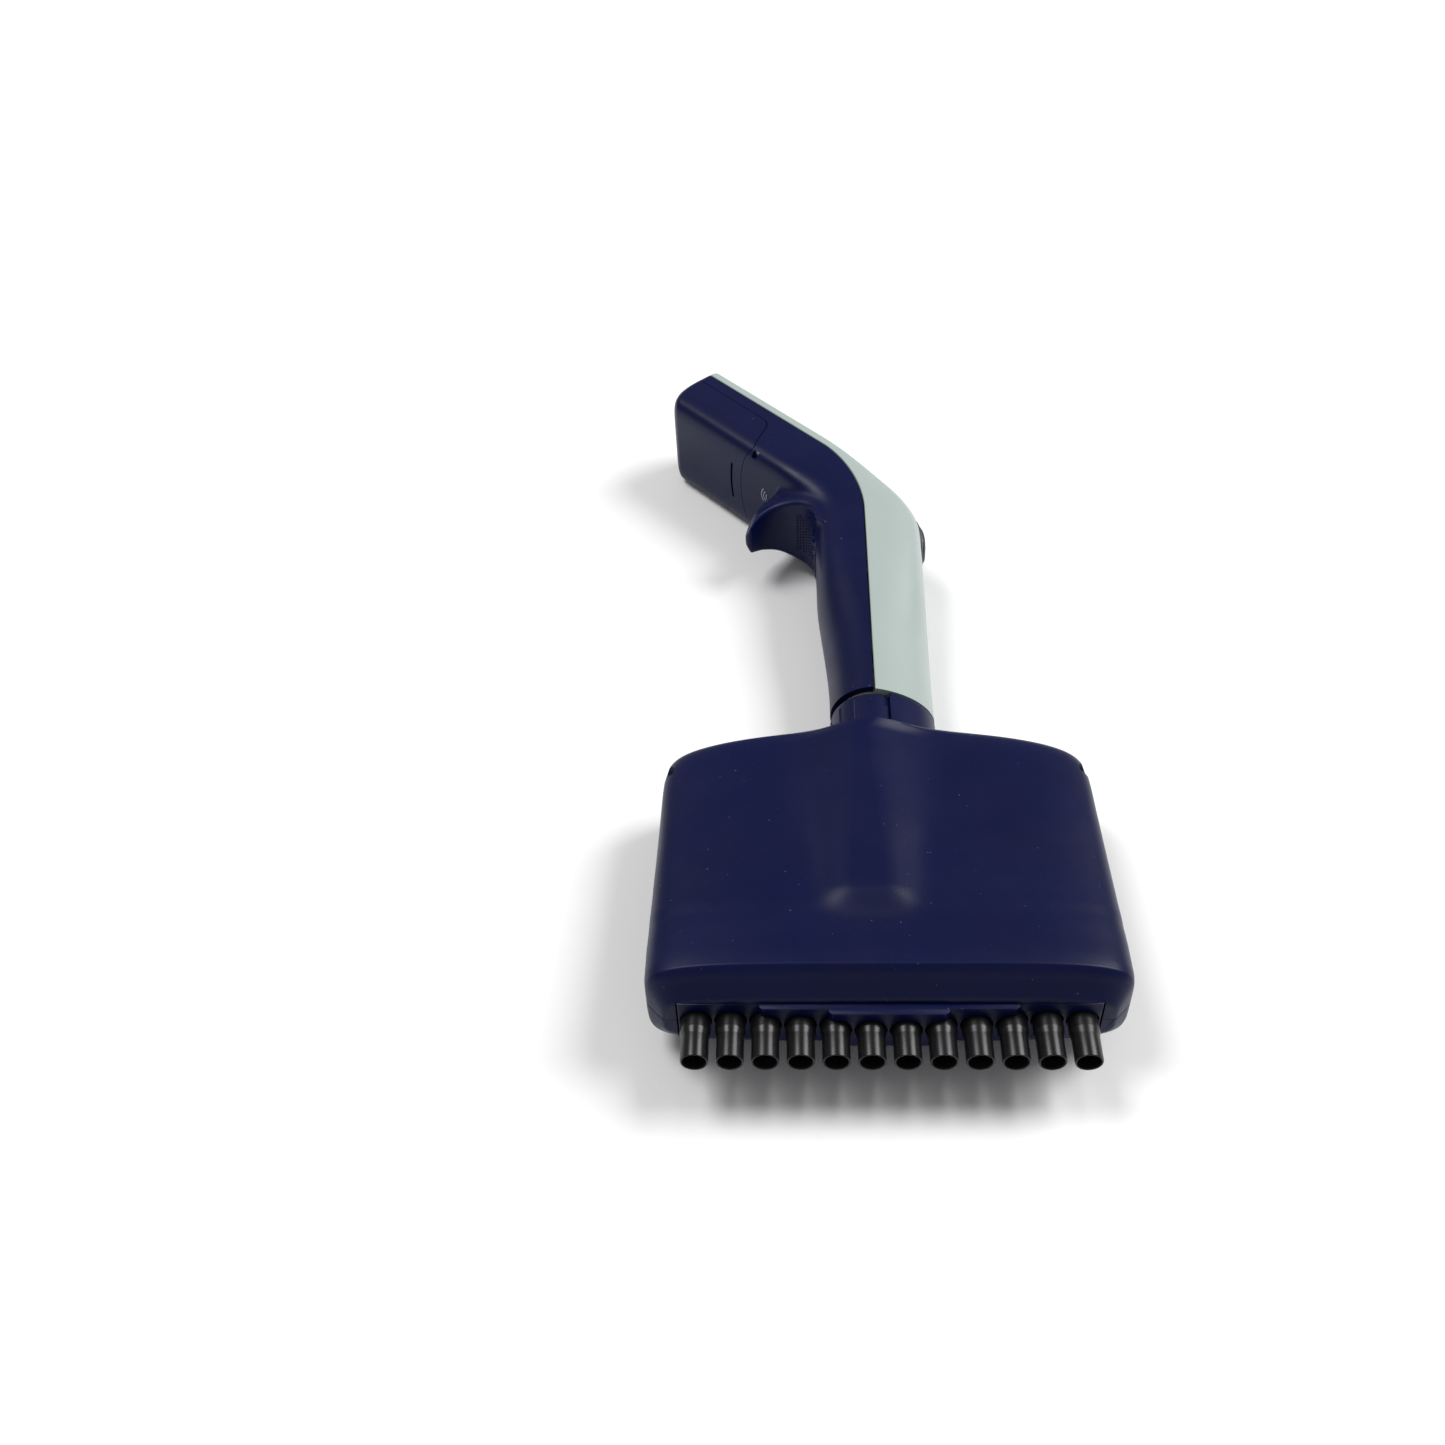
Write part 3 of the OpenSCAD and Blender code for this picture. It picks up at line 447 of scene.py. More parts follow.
def moulded(name, base, speck, rough=(0.42, 0.55), grain=2600, grain_depth=0.00004, speck_at=0.735,
            coat=0.0, specular=0.5, sheen=0.0, mottled=1.22):
    """Moulded plastic: fine eroded grain, faint mottling, sparse light specks and short scratches."""
    p = Paint(name)
    mottle = p.noise(38, 4)
    colour = p.mix(p.ramp(mottle, [(0.35, (0, 0, 0)), (0.7, (1, 1, 1))]), base,
                   tuple(min(1, c * mottled) for c in base))
    specks = p.ramp(p.noise(900, 1.5, 0.4), [(speck_at, (0, 0, 0)), (speck_at + 0.03, (1, 1, 1))])
    colour = p.mix(specks, colour, speck)
    scratch = p.ramp(p.noise(330, 2, 0.5, (1, 0.06, 1)), [(0.77, (0, 0, 0)), (0.8, (1, 1, 1))])
    colour = p.mix(scratch, colour, tuple(0.5 * (a + b) for a, b in zip(base, speck)))
    p.link(colour, p.shader.inputs["Base Color"])
    wear = p.noise(55, 5, 0.6)
    p.link(p.ramp(wear, [(0.3, (rough[0],) * 3), (0.75, (rough[1],) * 3)]), p.shader.inputs["Roughness"])
    fine = p.bump(p.noise(grain, 2, 0.6), 0.55, grain_depth)
    p.link(p.bump(p.noise(420, 2), 0.12, 0.00005, fine), p.shader.inputs["Normal"])
    p.shader.inputs["Specular IOR Level"].default_value = specular
    p.shader.inputs["Coat Weight"].default_value = coat
    p.shader.inputs["Sheen Weight"].default_value = sheen
    return p.mat


def metal(name, base, rough=0.32, turned=True):
    p = Paint(name)
    streak = p.noise(700, 2, 0.5, (1, 0.04, 1) if turned else (0.05, 1, 1))
    p.link(p.mix(p.ramp(streak, [(0.3, (0, 0, 0)), (0.7, (1, 1, 1))]), base, tuple(0.8 * c for c in base)),
           p.shader.inputs["Base Color"])
    p.link(p.ramp(p.noise(90, 4), [(0.3, (rough * 0.8,) * 3), (0.7, (rough * 1.25,) * 3)]),
           p.shader.inputs["Roughness"])
    p.link(p.bump(streak, 0.2, 0.00002), p.shader.inputs["Normal"])
    p.shader.inputs["Metallic"].default_value = 1.0
    return p.mat


NAVY = moulded("navy_grain", (0.0004, 0.0024, 0.032), (0.05, 0.06, 0.12), rough=(0.34, 0.44), specular=0.19,
               speck_at=0.772)
MINT = moulded("mint_satin", (0.350, 0.408, 0.387), (0.30, 0.35, 0.33), rough=(0.33, 0.42), grain=3000,
               grain_depth=0.000012, speck_at=0.80, mottled=1.04)
BLACK = moulded("black_gloss", (0.005, 0.005, 0.006), (0.04, 0.04, 0.045), rough=(0.24, 0.34), grain=1800,
                grain_depth=0.000008, speck_at=0.79, specular=0.3)
DARK = moulded("dark_matt", (0.011, 0.013, 0.024), (0.08, 0.08, 0.10), rough=(0.38, 0.5), grain=2600,
               grain_depth=0.00002, speck_at=0.76)
IVORY = moulded("natural_moulding", (0.62, 0.58, 0.48), (0.5, 0.47, 0.4), rough=(0.4, 0.5))
RUBBER = moulded("rubber_seal", (0.012, 0.012, 0.012), (0.03, 0.03, 0.03), rough=(0.6, 0.75))
WRAP = moulded("cell_wrap", (0.14, 0.17, 0.24), (0.3, 0.32, 0.36), rough=(0.25, 0.35), grain=900,
               grain_depth=0.00001)
BOARD = moulded("solder_mask", (0.01, 0.10, 0.045), (0.55, 0.42, 0.18), rough=(0.25, 0.35), speck_at=0.66)
SCREEN = moulded("display_glass", (0.004, 0.005, 0.007), (0.02, 0.02, 0.025), rough=(0.06, 0.12), grain=400,
                 grain_depth=0.000002, speck_at=0.85, coat=0.6)
LCD = moulded("lcd_panel", (0.05, 0.065, 0.08), (0.1, 0.12, 0.14), rough=(0.2, 0.3))
STEEL = metal("ground_steel", (0.50, 0.51, 0.53))
WIRE = metal("spring_wire", (0.38, 0.39, 0.41), 0.28)
BRASS = metal("turned_brass", (0.62, 0.43, 0.16), 0.25)
COPPER = metal("enamelled_copper", (0.50, 0.20, 0.08), 0.35)
MAGNET = metal("sintered_magnet", (0.10, 0.10, 0.11), 0.5)
ALUMINIUM = metal("milled_aluminium", (0.62, 0.63, 0.65), 0.3, turned=False)

SLOT_PAINT = {
    "navy_plastic": NAVY, "mint_plastic": MINT, "black_plastic": BLACK, "dark_plastic": DARK,
    "screen": SCREEN, "lcd": LCD, "board": BOARD, "steel": STEEL, "spring_steel": WIRE, "brass": BRASS,
    "copper_winding": COPPER, "magnet": MAGNET, "ivory_plastic": IVORY, "aluminium": ALUMINIUM,
    "cell_wrap": WRAP, "rubber": RUBBER,
}
for part in frame["record"]["subparts"]:
    data = NODES[part["node"]].data
    data.materials.clear()
    data.materials.append(SLOT_PAINT[part["material_slot"]])


def finish_piece(obj, body, paint, slot, *nodes):
    obj.data.materials.clear()
    obj.data.materials.append(paint)
    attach(obj, body)
    if nodes:
        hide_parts(*nodes)


# ---------------------------------------------------------------- front cover
def foot_line(x):
    return 123.2 - 0.19 * (x - 1.8)


FOOT_T = 123.2
GAP = 0.22


def sheared(loop, t):
    """The cover's foot slopes: lower at the front."""
    loop = loop.copy()
    loop[:, 1] += (foot_line(loop[:, 0]) - FOOT_T) * (1 - ease((t - FOOT_T) / 9))
    return loop


def front_cover():
    stations = body_stations(FOOT_T, 0.9, 0.0)
    loops = [sheared(half_loop(t, i, GAP, 1, True), t) for t, i in stations if t < BODY_END - WALL]
    loops += [half_loop(t, i, GAP, 1, False) for t, i in stations if t >= BODY_END - WALL]
    obj = loft("cover_front", loops)
    carve(obj, thumb_prism("hole", -12, 10, THUMB_LONG + 0.3, THUMB_WIDE + 0.3),
          head_box("window", 9, 53, -10, 4, -14, 14),
          head_disc("key_a", 3.2, -8.5, -10, 4, 3.6), head_disc("key_b", 3.2, 8.5, -10, 4, 3.6))
    soften(obj)
    finish_piece(obj, "grip", MINT, "mint_plastic", "front_cover")
    return obj


THUMB_AT, THUMB_LEAN, THUMB_LONG, THUMB_WIDE = (18.6, 209.0), math.radians(15.6), 12.2, 8.6


def thumb_point(x, y, z):
    c, s = math.cos(THUMB_LEAN), math.sin(THUMB_LEAN)
    return (THUMB_AT[0] + x * c - y * s, THUMB_AT[1] + x * s + y * c, z)


def thumb_prism(name, x0, x1, long, wide, count=96):
    rings = [np.array([thumb_point(x, long * math.cos(a), wide * math.sin(a))
                       for a in np.linspace(0, 2 * math.pi, count, endpoint=False)]) for x in (x0, x1)]
    return loft(name, rings, smooth=False)


def pchip(x, xs, ys):
    """Monotone cubic through the stations."""
    h = np.diff(xs)
    d = np.diff(ys) / h
    m = np.zeros(len(xs))
    for i in range(1, len(xs) - 1):
        if d[i - 1] * d[i] > 0:
            w1, w2 = 2 * h[i] + h[i - 1], h[i] + 2 * h[i - 1]
            m[i] = (w1 + w2) / (w1 / d[i - 1] + w2 / d[i])
    m[0], m[-1] = d[0], d[-1]
    i = min(max(np.searchsorted(xs, x) - 1, 0), len(xs) - 2)
    s = (x - xs[i]) / h[i]
    return ((1 + 2 * s) * (1 - s) ** 2 * ys[i] + s * (1 - s) ** 2 * h[i] * m[i]
            + s * s * (3 - 2 * s) * ys[i + 1] + s * s * (s - 1) * h[i] * m[i + 1])


# ---------------------------------------------------------------- rear shell with the hook
HOOK_UNDER = [(-12, 203), (-15.2, 206), (-16.2, 210.5), (-18.5, 214.2), (-22, 216.6), (-26, 217.9),
              (-30, 217.8), (-33.5, 216.2), (-36.2, 213.6), (-37.6, 211.3)]
HOOK_OVER = [(-39, 211), (-39.9, 212.2), (-39.6, 214.6), (-38.2, 217.8), (-36, 220.8), (-33, 223.6),
             (-30, 226.4), (-28, 229.5), (-25, 232), (-12, 226)]


# Half width of the hook against how far it reaches behind the piston axis
HOOK_REACH = np.array([10, 14, 20, 23.5, 27, 31, 34, 36.5, 38.5, 40.0])
HOOK_HALF = np.array([14.6, 14.5, 13.6, 12.4, 10.9, 9.3, 8.2, 6.9, 4.9, 2.8])


def hook_half(x):
    return pchip(min(max(-x, 10), 40), HOOK_REACH, HOOK_HALF)


def spline(points, per=10):
    """A smooth curve through the points."""
    p = np.array(points, dtype=float)
    p = np.concatenate([[2 * p[0] - p[1]], p, [2 * p[-1] - p[-2]]])
    out = []
    for i in range(1, len(p) - 2):
        for s in np.linspace(0, 1, per, endpoint=False):
            a, b, c, d = p[i - 1], p[i], p[i + 1], p[i + 2]
            out.append(0.5 * (2 * b + (c - a) * s + (2 * a - 5 * b + 4 * c - d) * s * s
                              + (3 * b - a - 3 * c + d) * s ** 3))
    out.append(p[-2])
    return np.array(out)


# Radius of the hook's side edges, which starts behind its root
HOOK_EDGE, HOOK_ROOT = 1.3, -17


def hook_mesh():
    outline = np.concatenate([spline(HOOK_UNDER, 8), spline(HOOK_OVER, 8)])
    rings = []
    ahead, behind = np.roll(outline, -1, axis=0), np.roll(outline, 1, axis=0)
    along = ahead - behind
    inward = np.stack([along[:, 1], -along[:, 0]], 1) / np.linalg.norm(along, axis=1)[:, None]
    inward[outline[:, 0] > HOOK_ROOT] = 0
    halves = np.array([hook_half(x) for x, _ in outline])
    for s in np.linspace(-1, 1, 61):
        near_edge = np.clip((halves * abs(s) - (halves - HOOK_EDGE)) / HOOK_EDGE, 0, 1)
        shrink = HOOK_EDGE * (1 - np.sqrt(1 - near_edge ** 2))
        xy = outline + inward * shrink[:, None]
        rings.append(np.concatenate([xy, (s * halves)[:, None]], axis=1))
    return loft("hook", rings)


def join(name, *objs):
    points, faces, base = [], [], 0
    for o in objs:
        points += [tuple(v.co) for v in o.data.vertices]
        faces += [tuple(base + i for i in f.vertices) for f in o.data.polygons]
        base = len(points)
        bpy.data.objects.remove(o)
    mesh = bpy.data.meshes.new(name)
    mesh.from_pydata(points, [], faces)
    obj = bpy.data.objects.new(name, mesh)
    bpy.context.scene.collection.objects.link(obj)
    return obj


VOXEL = 0.5
SMOOTHING_ROUNDS = 26


def blended_body():
    """The whole body with the hook grown on, the join between them smoothed."""
    obj = join("body", body_solid("whole", 119, 0), hook_mesh())
    step = obj.modifiers.new("skin", "REMESH")
    step.mode = "VOXEL"
    step.voxel_size = VOXEL * MM
    apply_modifiers(obj)
    mesh = obj.data
    co = np.empty(len(mesh.vertices) * 3)
    mesh.vertices.foreach_get("co", co)
    p = co.reshape(-1, 3) / MM - FOOT
    # How close each point is to the root of the hook and to its tip, which sets how much it is smoothed
    near = np.exp(-(((p[:, 0] + 21) / 9.5) ** 2 + ((p[:, 1] - 219) / 12) ** 2)) * (p[:, 0] < -10)
    tip = np.exp(-(((p[:, 0] + 36) / 6) ** 2 + ((p[:, 1] - 214) / 7) ** 2))
    weight = np.clip(np.maximum(near * 1.6, tip * 0.7), 0.04, 1)
    edges = np.empty(len(mesh.edges) * 2, dtype=np.int64)
    mesh.edges.foreach_get("vertices", edges)
    edges = edges.reshape(-1, 2)
    degree = np.bincount(edges.ravel(), minlength=len(p)).astype(float)
    for _ in range(SMOOTHING_ROUNDS):
        total = np.zeros_like(p)
        for k in range(3):
            total[:, k] = np.bincount(edges[:, 0], p[edges[:, 1], k], len(p)) + np.bincount(
                edges[:, 1], p[edges[:, 0], k], len(p))
        p += weight[:, None] * 0.5 * (total / degree[:, None] - p)
    mesh.vertices.foreach_set("co", to_row(p).ravel())
    mesh.update()
    mesh.shade_smooth()
    return obj


def rear_shell():
    obj = blended_body()
    obj.name = "shell_rear"
    flat = span("flat", (-90, 90, -FLAT), (60, 330, FLAT))
    carve(obj, flat, mode="INTERSECT")
    carve(obj, body_solid("inside", 119, WALL, 2.0, 80), seam_prism("ahead", -GAP),
          door_prism("door", -0.12), span("below", (-60, 80, -30), (60, 124, 30)),
          span("pocket", (-20, 200.6, -8), (-8, 210.4, 8)),
          head_box("port", 35, 90, -0.3, 3.5, -4.4, 4.4),
          head_box("latch_window", 12.4, 14.8, 13.5, 30, 14.9, 17.3))
    soften(obj)
    finish_piece(obj, "grip", NAVY, "navy_plastic", "rear_shell")
    return obj


# Finger slot across the battery cover: where it crosses the middle line, its radii and half angle
SLOT_U, SLOT_RADII, SLOT_ANGLE = 26, (40.4, 39.4), 0.19


def battery_cover():
    obj = body_solid("cover_battery", BEND_END - 10, 0, 1.0, 160)
    carve(obj, door_prism("door", 0.12), mode="INTERSECT")
    slot = []
    for s, r in zip((1, -1), SLOT_RADII):
        for a in np.linspace(-SLOT_ANGLE, SLOT_ANGLE, 16)[::s]:
            slot.append((SLOT_U - 40 + r * math.cos(a), r * math.sin(a)))
    rings = [np.array([(*head_xy(u, v), z) for u, z in slot]) for v in (20.3, 30)]
    carve(obj, body_solid("inside", BEND_END - 14, WALL, 2.0, 80), loft("slot", rings, smooth=False))
    soften(obj)
    finish_piece(obj, "battery_door", NAVY, "navy_plastic", "battery_cover")
    return obj


# ---------------------------------------------------------------- manifold case
CASE_STATIONS = np.array([
    [0, 58, 8.4], [2.6, 60.4, 12.8], [4.8, 62.2, 16.4], [5.6, 62.6, 17], [8, 63, 17], [16, 63, 16.6],
    [20, 62.9, 16.4], [23, 62.8, 16.2], [26, 62.8, 16.1], [29, 62.7, 15.9], [38, 62.5, 15.4],
    [52, 62.2, 14.7], [66, 62, 13.9], [78, 61.9, 13.3], [86, 61.6, 12.7], [91, 60.7, 12],
    [93.6, 59.2, 11.2], [94.8, 57.8, 9.9], [95.4, 56.4, 7.6]])


def case_y(h, q):
    return 12.8 + h - 7.7 * np.abs(q) ** 2.2 * ease((h - 50) / 46)


def rib(h, x):
    low = pchip(h, CASE_STATIONS[:, 0], CASE_STATIONS[:, 2])
    rise = ease((h - 19) / 11)
    top = 18.6 - 1.2 * max(0, h - 92) ** 1.3
    middle = -4 * (1 - ease((h - 88) / 7))
    wide, power = between(h, 30, 80, 11.5, 14), between(h, 30, 80, 3.6, 2)
    return rise * max(0, top - low) * np.exp(-(np.abs(x - middle) / wide) ** power)


def case_loop(h, inset, up, kind, fine=130):
    """Closed section of one case half. kind is hollow, solid, or closed (the solid section pressed flat)."""
    width = pchip(h, CASE_STATIONS[:, 0], CASE_STATIONS[:, 1]) - inset
    thick = pchip(h, CASE_STATIONS[:, 0], CASE_STATIONS[:, 2]) - inset
    split, lip, turns = 0.06, 0.25, np.linspace(0, math.pi / 2, 5)[1:]

    def arc(w, t, z_from):
        q = np.sin(np.linspace(0, 1, 1500) * math.pi / 2) ** 0.5
        z = t * np.maximum(1 - q ** 5, 0) ** 0.2
        pts = np.stack([w * q, z], 1)
        return even(pts[pts[:, 1] > z_from], fine)

    outer = arc(width, thick, split + lip)
    edge = outer[-1][0]
    fillet = np.stack([edge - lip * (1 - np.cos(turns)), split + lip * (1 - np.sin(turns))], 1)
    if kind == "hollow":
        inner = arc(width - WALL, thick - WALL, split)[::-1]
        inner[0, 1] = split
    else:
        inner = np.stack([outer[::-1, 0], np.full(fine, split)], 1)
        inner[0, 0] = fillet[-1, 0] - 0.05
    if kind == "closed":
        outer[:, 1] = split
        outer[-1, 0] = inner[0, 0]
        fillet = np.tile(inner[0], (len(turns), 1))
    right = np.concatenate([outer, fillet, inner])
    left = right[::-1][1:-1] * [-1, 1]
    loop = np.concatenate([right, left])
    z = loop[:, 1] + rib(h, loop[:, 0]) * (loop[:, 1] > 1)
    return np.stack([loop[:, 0], case_y(h, loop[:, 0] / width), up * np.clip(z, 0, FLAT)], 1)


# The case's fasteners: the side notches lean outwards, the rear holes stand square to the table
NOTCH_AT, NOTCH_LEAN = (55.1, 90.2, 7), math.radians(32)
CASE_SCREWS = ((-57.8, 34), (57.8, 34), (-56.6, 84), (56.6, 84))
NECK_R = 8.4


def drill(name, origin, direction, start, stop, radius, count=40):
    """A round tool along a direction."""
    origin, axis = np.array(origin, dtype=float), np.array(direction, dtype=float)
    across = np.cross(axis, [0.0, 0.0, 1.0]) if abs(axis[2]) < 0.9 else np.array([1.0, 0.0, 0.0])
    across /= np.linalg.norm(across)
    other = np.cross(axis, across)
    turns = np.linspace(0, 2 * math.pi, count, endpoint=False)
    return loft(name, [np.array([origin + axis * d + radius * (math.cos(a) * across + math.sin(a) * other)
                                 for a in turns]) for d in (start, stop)], smooth=False)


def case_half(name, up, node):
    loops = []
    for a in np.radians([0, 25, 50, 75]):
        loops.append(case_loop(0.5 * (1 - math.cos(a)), 0.5 * (1 - math.sin(a)), up, "solid"))
    for h in np.linspace(0.55, 1.95, 5):
        loops.append(case_loop(h, 0, up, "solid"))
    for h in np.r_[np.linspace(2.0, 12, 34), np.linspace(12.6, 84, 80), np.linspace(84.7, 93.2, 22)]:
        loops.append(case_loop(h, 0, up, "hollow"))
    for h in np.linspace(93.25, 95.4, 12):
        loops.append(case_loop(h, 0, up, "solid"))
    loops.append(case_loop(95.4, 0, up, "closed"))
    obj = loft(name, loops, caps=(True, False))
    carve(obj, span("mouth", (-54.5, 0, -7.2), (54.5, 20, 7.2)))
    rings = [np.array([(NECK_R * math.cos(a), y, NECK_R * math.sin(a))
                       for a in np.linspace(0, 2 * math.pi, 72, endpoint=False)]) for y in (90, 120)]
    carve(obj, loft("bore", rings, smooth=False))
    for side in (-1, 1):
        x, y, z = NOTCH_AT
        lean = (side * math.cos(NOTCH_LEAN), math.sin(NOTCH_LEAN), 0)
        carve(obj, drill("notch", (side * x, y, z), lean, 1.2, 20, 2.5))
    if up < 0:
        for x, y in CASE_SCREWS:
            carve(obj, drill("hole", (x, y, 0), (0, 0, -1), 6, 30, 2.6))
            carve(obj, drill("hole", (x, y, 0), (0, 0, -1), -1, 8, 1.4))
    soften(obj, 30)
    finish_piece(obj, "manifold", NAVY, "navy_plastic", node)
    return obj


# ---------------------------------------------------------------- nozzles, ring, stripper
def nozzles():
    points, faces = [], []
    land, mouth = 3.6, 3.0
    profile = [(mouth, 9.5), (mouth, 0.35), (mouth + 0.12, 0.1), (mouth + 0.3, 0), (land - 0.22, 0),
               (land - 0.08, 0.12), (land, 0.45), (land, 6.9), (land + 0.03, 7.15), (3.78, 7.9),
               (3.93, 8.55), (3.95, 8.9), (3.95, 16.6), (3.45, 17.2), (3.45, 20.2), (4.15, 20.2),
               (4.15, 22), (3.05, 22), (3.05, 26.6), (1.9, 26.6),
               (1.9, 15), (1.0, 14), (1.0, 11), (2.7, 9.8)]
    for i in range(12):
        p, f = lathe(profile, ((i - 5.5) * 9, 0, 0), 56)
        faces += [tuple(k + len(points) for k in face) for face in f]
        points += p
    obj = make_mesh("nozzle_row", points, faces)
    soften(obj, 28)
    finish_piece(obj, "manifold", BLACK, "black_plastic", "nozzles")


def release_ring():
    count, rows = 540, 44
    y0, y1 = 109.0, 121.6
    ys = np.linspace(y0, y1, rows)
    outer = np.zeros((rows, count))
    angles = np.linspace(0, 2 * math.pi, count, endpoint=False)
    ribs = np.radians(np.arange(97, 248, 30))
    for i, y in enumerate(ys):
        edge = min(1, (y - y0) / 0.6, (y1 - y) / 0.6)
        base = 12.1 - 0.5 * (1 - math.sqrt(max(0, 1 - (1 - edge) ** 2)))
        outer[i] = base
        tall = ease((y - y0 - 1.2) / 0.8) * ease((y1 - 1.4 - y) / 0.8)
        for a in ribs:
            gap = np.abs((angles - a + math.pi) % (2 * math.pi) - math.pi) * 12.3
            outer[i] += 0.36 * tall * ease((0.75 - gap) / 0.45)
        mark = np.abs((angles - math.radians(290) + math.pi) % (2 * math.pi) - math.pi) * 12.3
        outer[i] -= 0.55 * ease((0.7 - mark) / 0.3) * ease((y - 117) / 0.5)
    loops = []
    for i, y in enumerate(ys):
        loops.append(np.stack([outer[i] * np.cos(angles), np.full(count, y), -outer[i] * np.sin(angles)], 1))
    inner = [np.stack([8.5 * np.cos(angles), np.full(count, y), -8.5 * np.sin(angles)], 1) for y in (y1, y0)]
    loops += inner
    points = np.concatenate(loops)
    faces = []
    for i in range(len(loops)):
        a, b = i * count, ((i + 1) % len(loops)) * count
        for j in range(count):
            k = (j + 1) % count
            faces.append((a + j, a + k, b + k, b + j))
    obj = make_mesh("ring_release", points, faces)
    soften(obj, 50)
    finish_piece(obj, "collar_ring", NAVY, "navy_plastic", "release_ring")


def rounded_box(x0, x1, y0, y1, r, steps=8):
    """Outline with its two lower corners rounded."""
    pts = [(x0, y1)]
    for a in np.linspace(math.pi, 1.5 * math.pi, steps):
        pts.append((x0 + r + r * math.cos(a), y0 + r + r * math.sin(a)))
    for a in np.linspace(1.5 * math.pi, 2 * math.pi, steps):
        pts.append((x1 - r + r * math.cos(a), y0 + r + r * math.sin(a)))
    pts.append((x1, y1))
    return pts


def stripper_bar():
    obj = prism("bar_stripper", rounded_box(-54.2, 54.2, 12.6, 16.2, 0.6), -7.05, 7.05)
    for half, y0, r in ((33, 11.2, 1.3), (15.3, 9.6, 1.5)):
        carve(obj, prism("step", rounded_box(-half, half, y0, 14, r), -7.03, 7.03), mode="UNION")
    bevel(obj, 0.3, 2)
    holes = []
    for i in range(12):
        x = (i - 5.5) * 9
        rings = [np.array([(x + 4.25 * math.cos(a), y, 4.25 * math.sin(a))
                           for a in np.linspace(0, 2 * math.pi, 56, endpoint=False)]) for y in (5, 20)]
        holes.append(loft("hole", rings, smooth=False))
    carve(obj, join("holes", *holes))
    soften(obj, 30)
    finish_piece(obj, "stripper", NAVY, "navy_plastic", "stripper_bar")


def shroud():
    """The crescent in front of the ring."""
    loops = []
    angles = np.radians(np.linspace(-76, 76, 90))
    for s in np.linspace(0, 1, 24):
        ring = []
        for a in angles:
            x = SEAM_X + (GRIP_FRONT - 0.8) * math.cos(a)
            z = COLLAR_R * math.sin(a)
            if x < 4.6:
                continue
            ring.append((x, z))
        ring = even(np.array(ring), 80)
        low, high = 108.6, foot_line(ring[:, 0]) - 0.35
        edge = min(1, s / 0.06, (1 - s) / 0.06)
        sink = 0.45 * (1 - math.sqrt(max(0, 1 - (1 - edge) ** 2)))
        normal = np.stack([ring[:, 0] - SEAM_X, ring[:, 1] * 2], 1)
        normal /= np.linalg.norm(normal, axis=1)[:, None]
        out = ring - normal * sink
        ay = np.arctan2(ring[:, 1], ring[:, 0])
        inn = np.stack([12.85 * np.cos(ay), 12.85 * np.sin(ay)], 1)[::-1]
        loop = np.concatenate([out, inn])
        lows = np.full(len(loop), low)
        highs = np.concatenate([high, high[::-1]])
        loops.append(np.stack([loop[:, 0], lows + (highs - lows) * s, loop[:, 1]], 1))
    obj = loft("crescent", loops)
    soften(obj, 40)
    finish_piece(obj, "grip", NAVY, "navy_plastic", "collar_shroud")


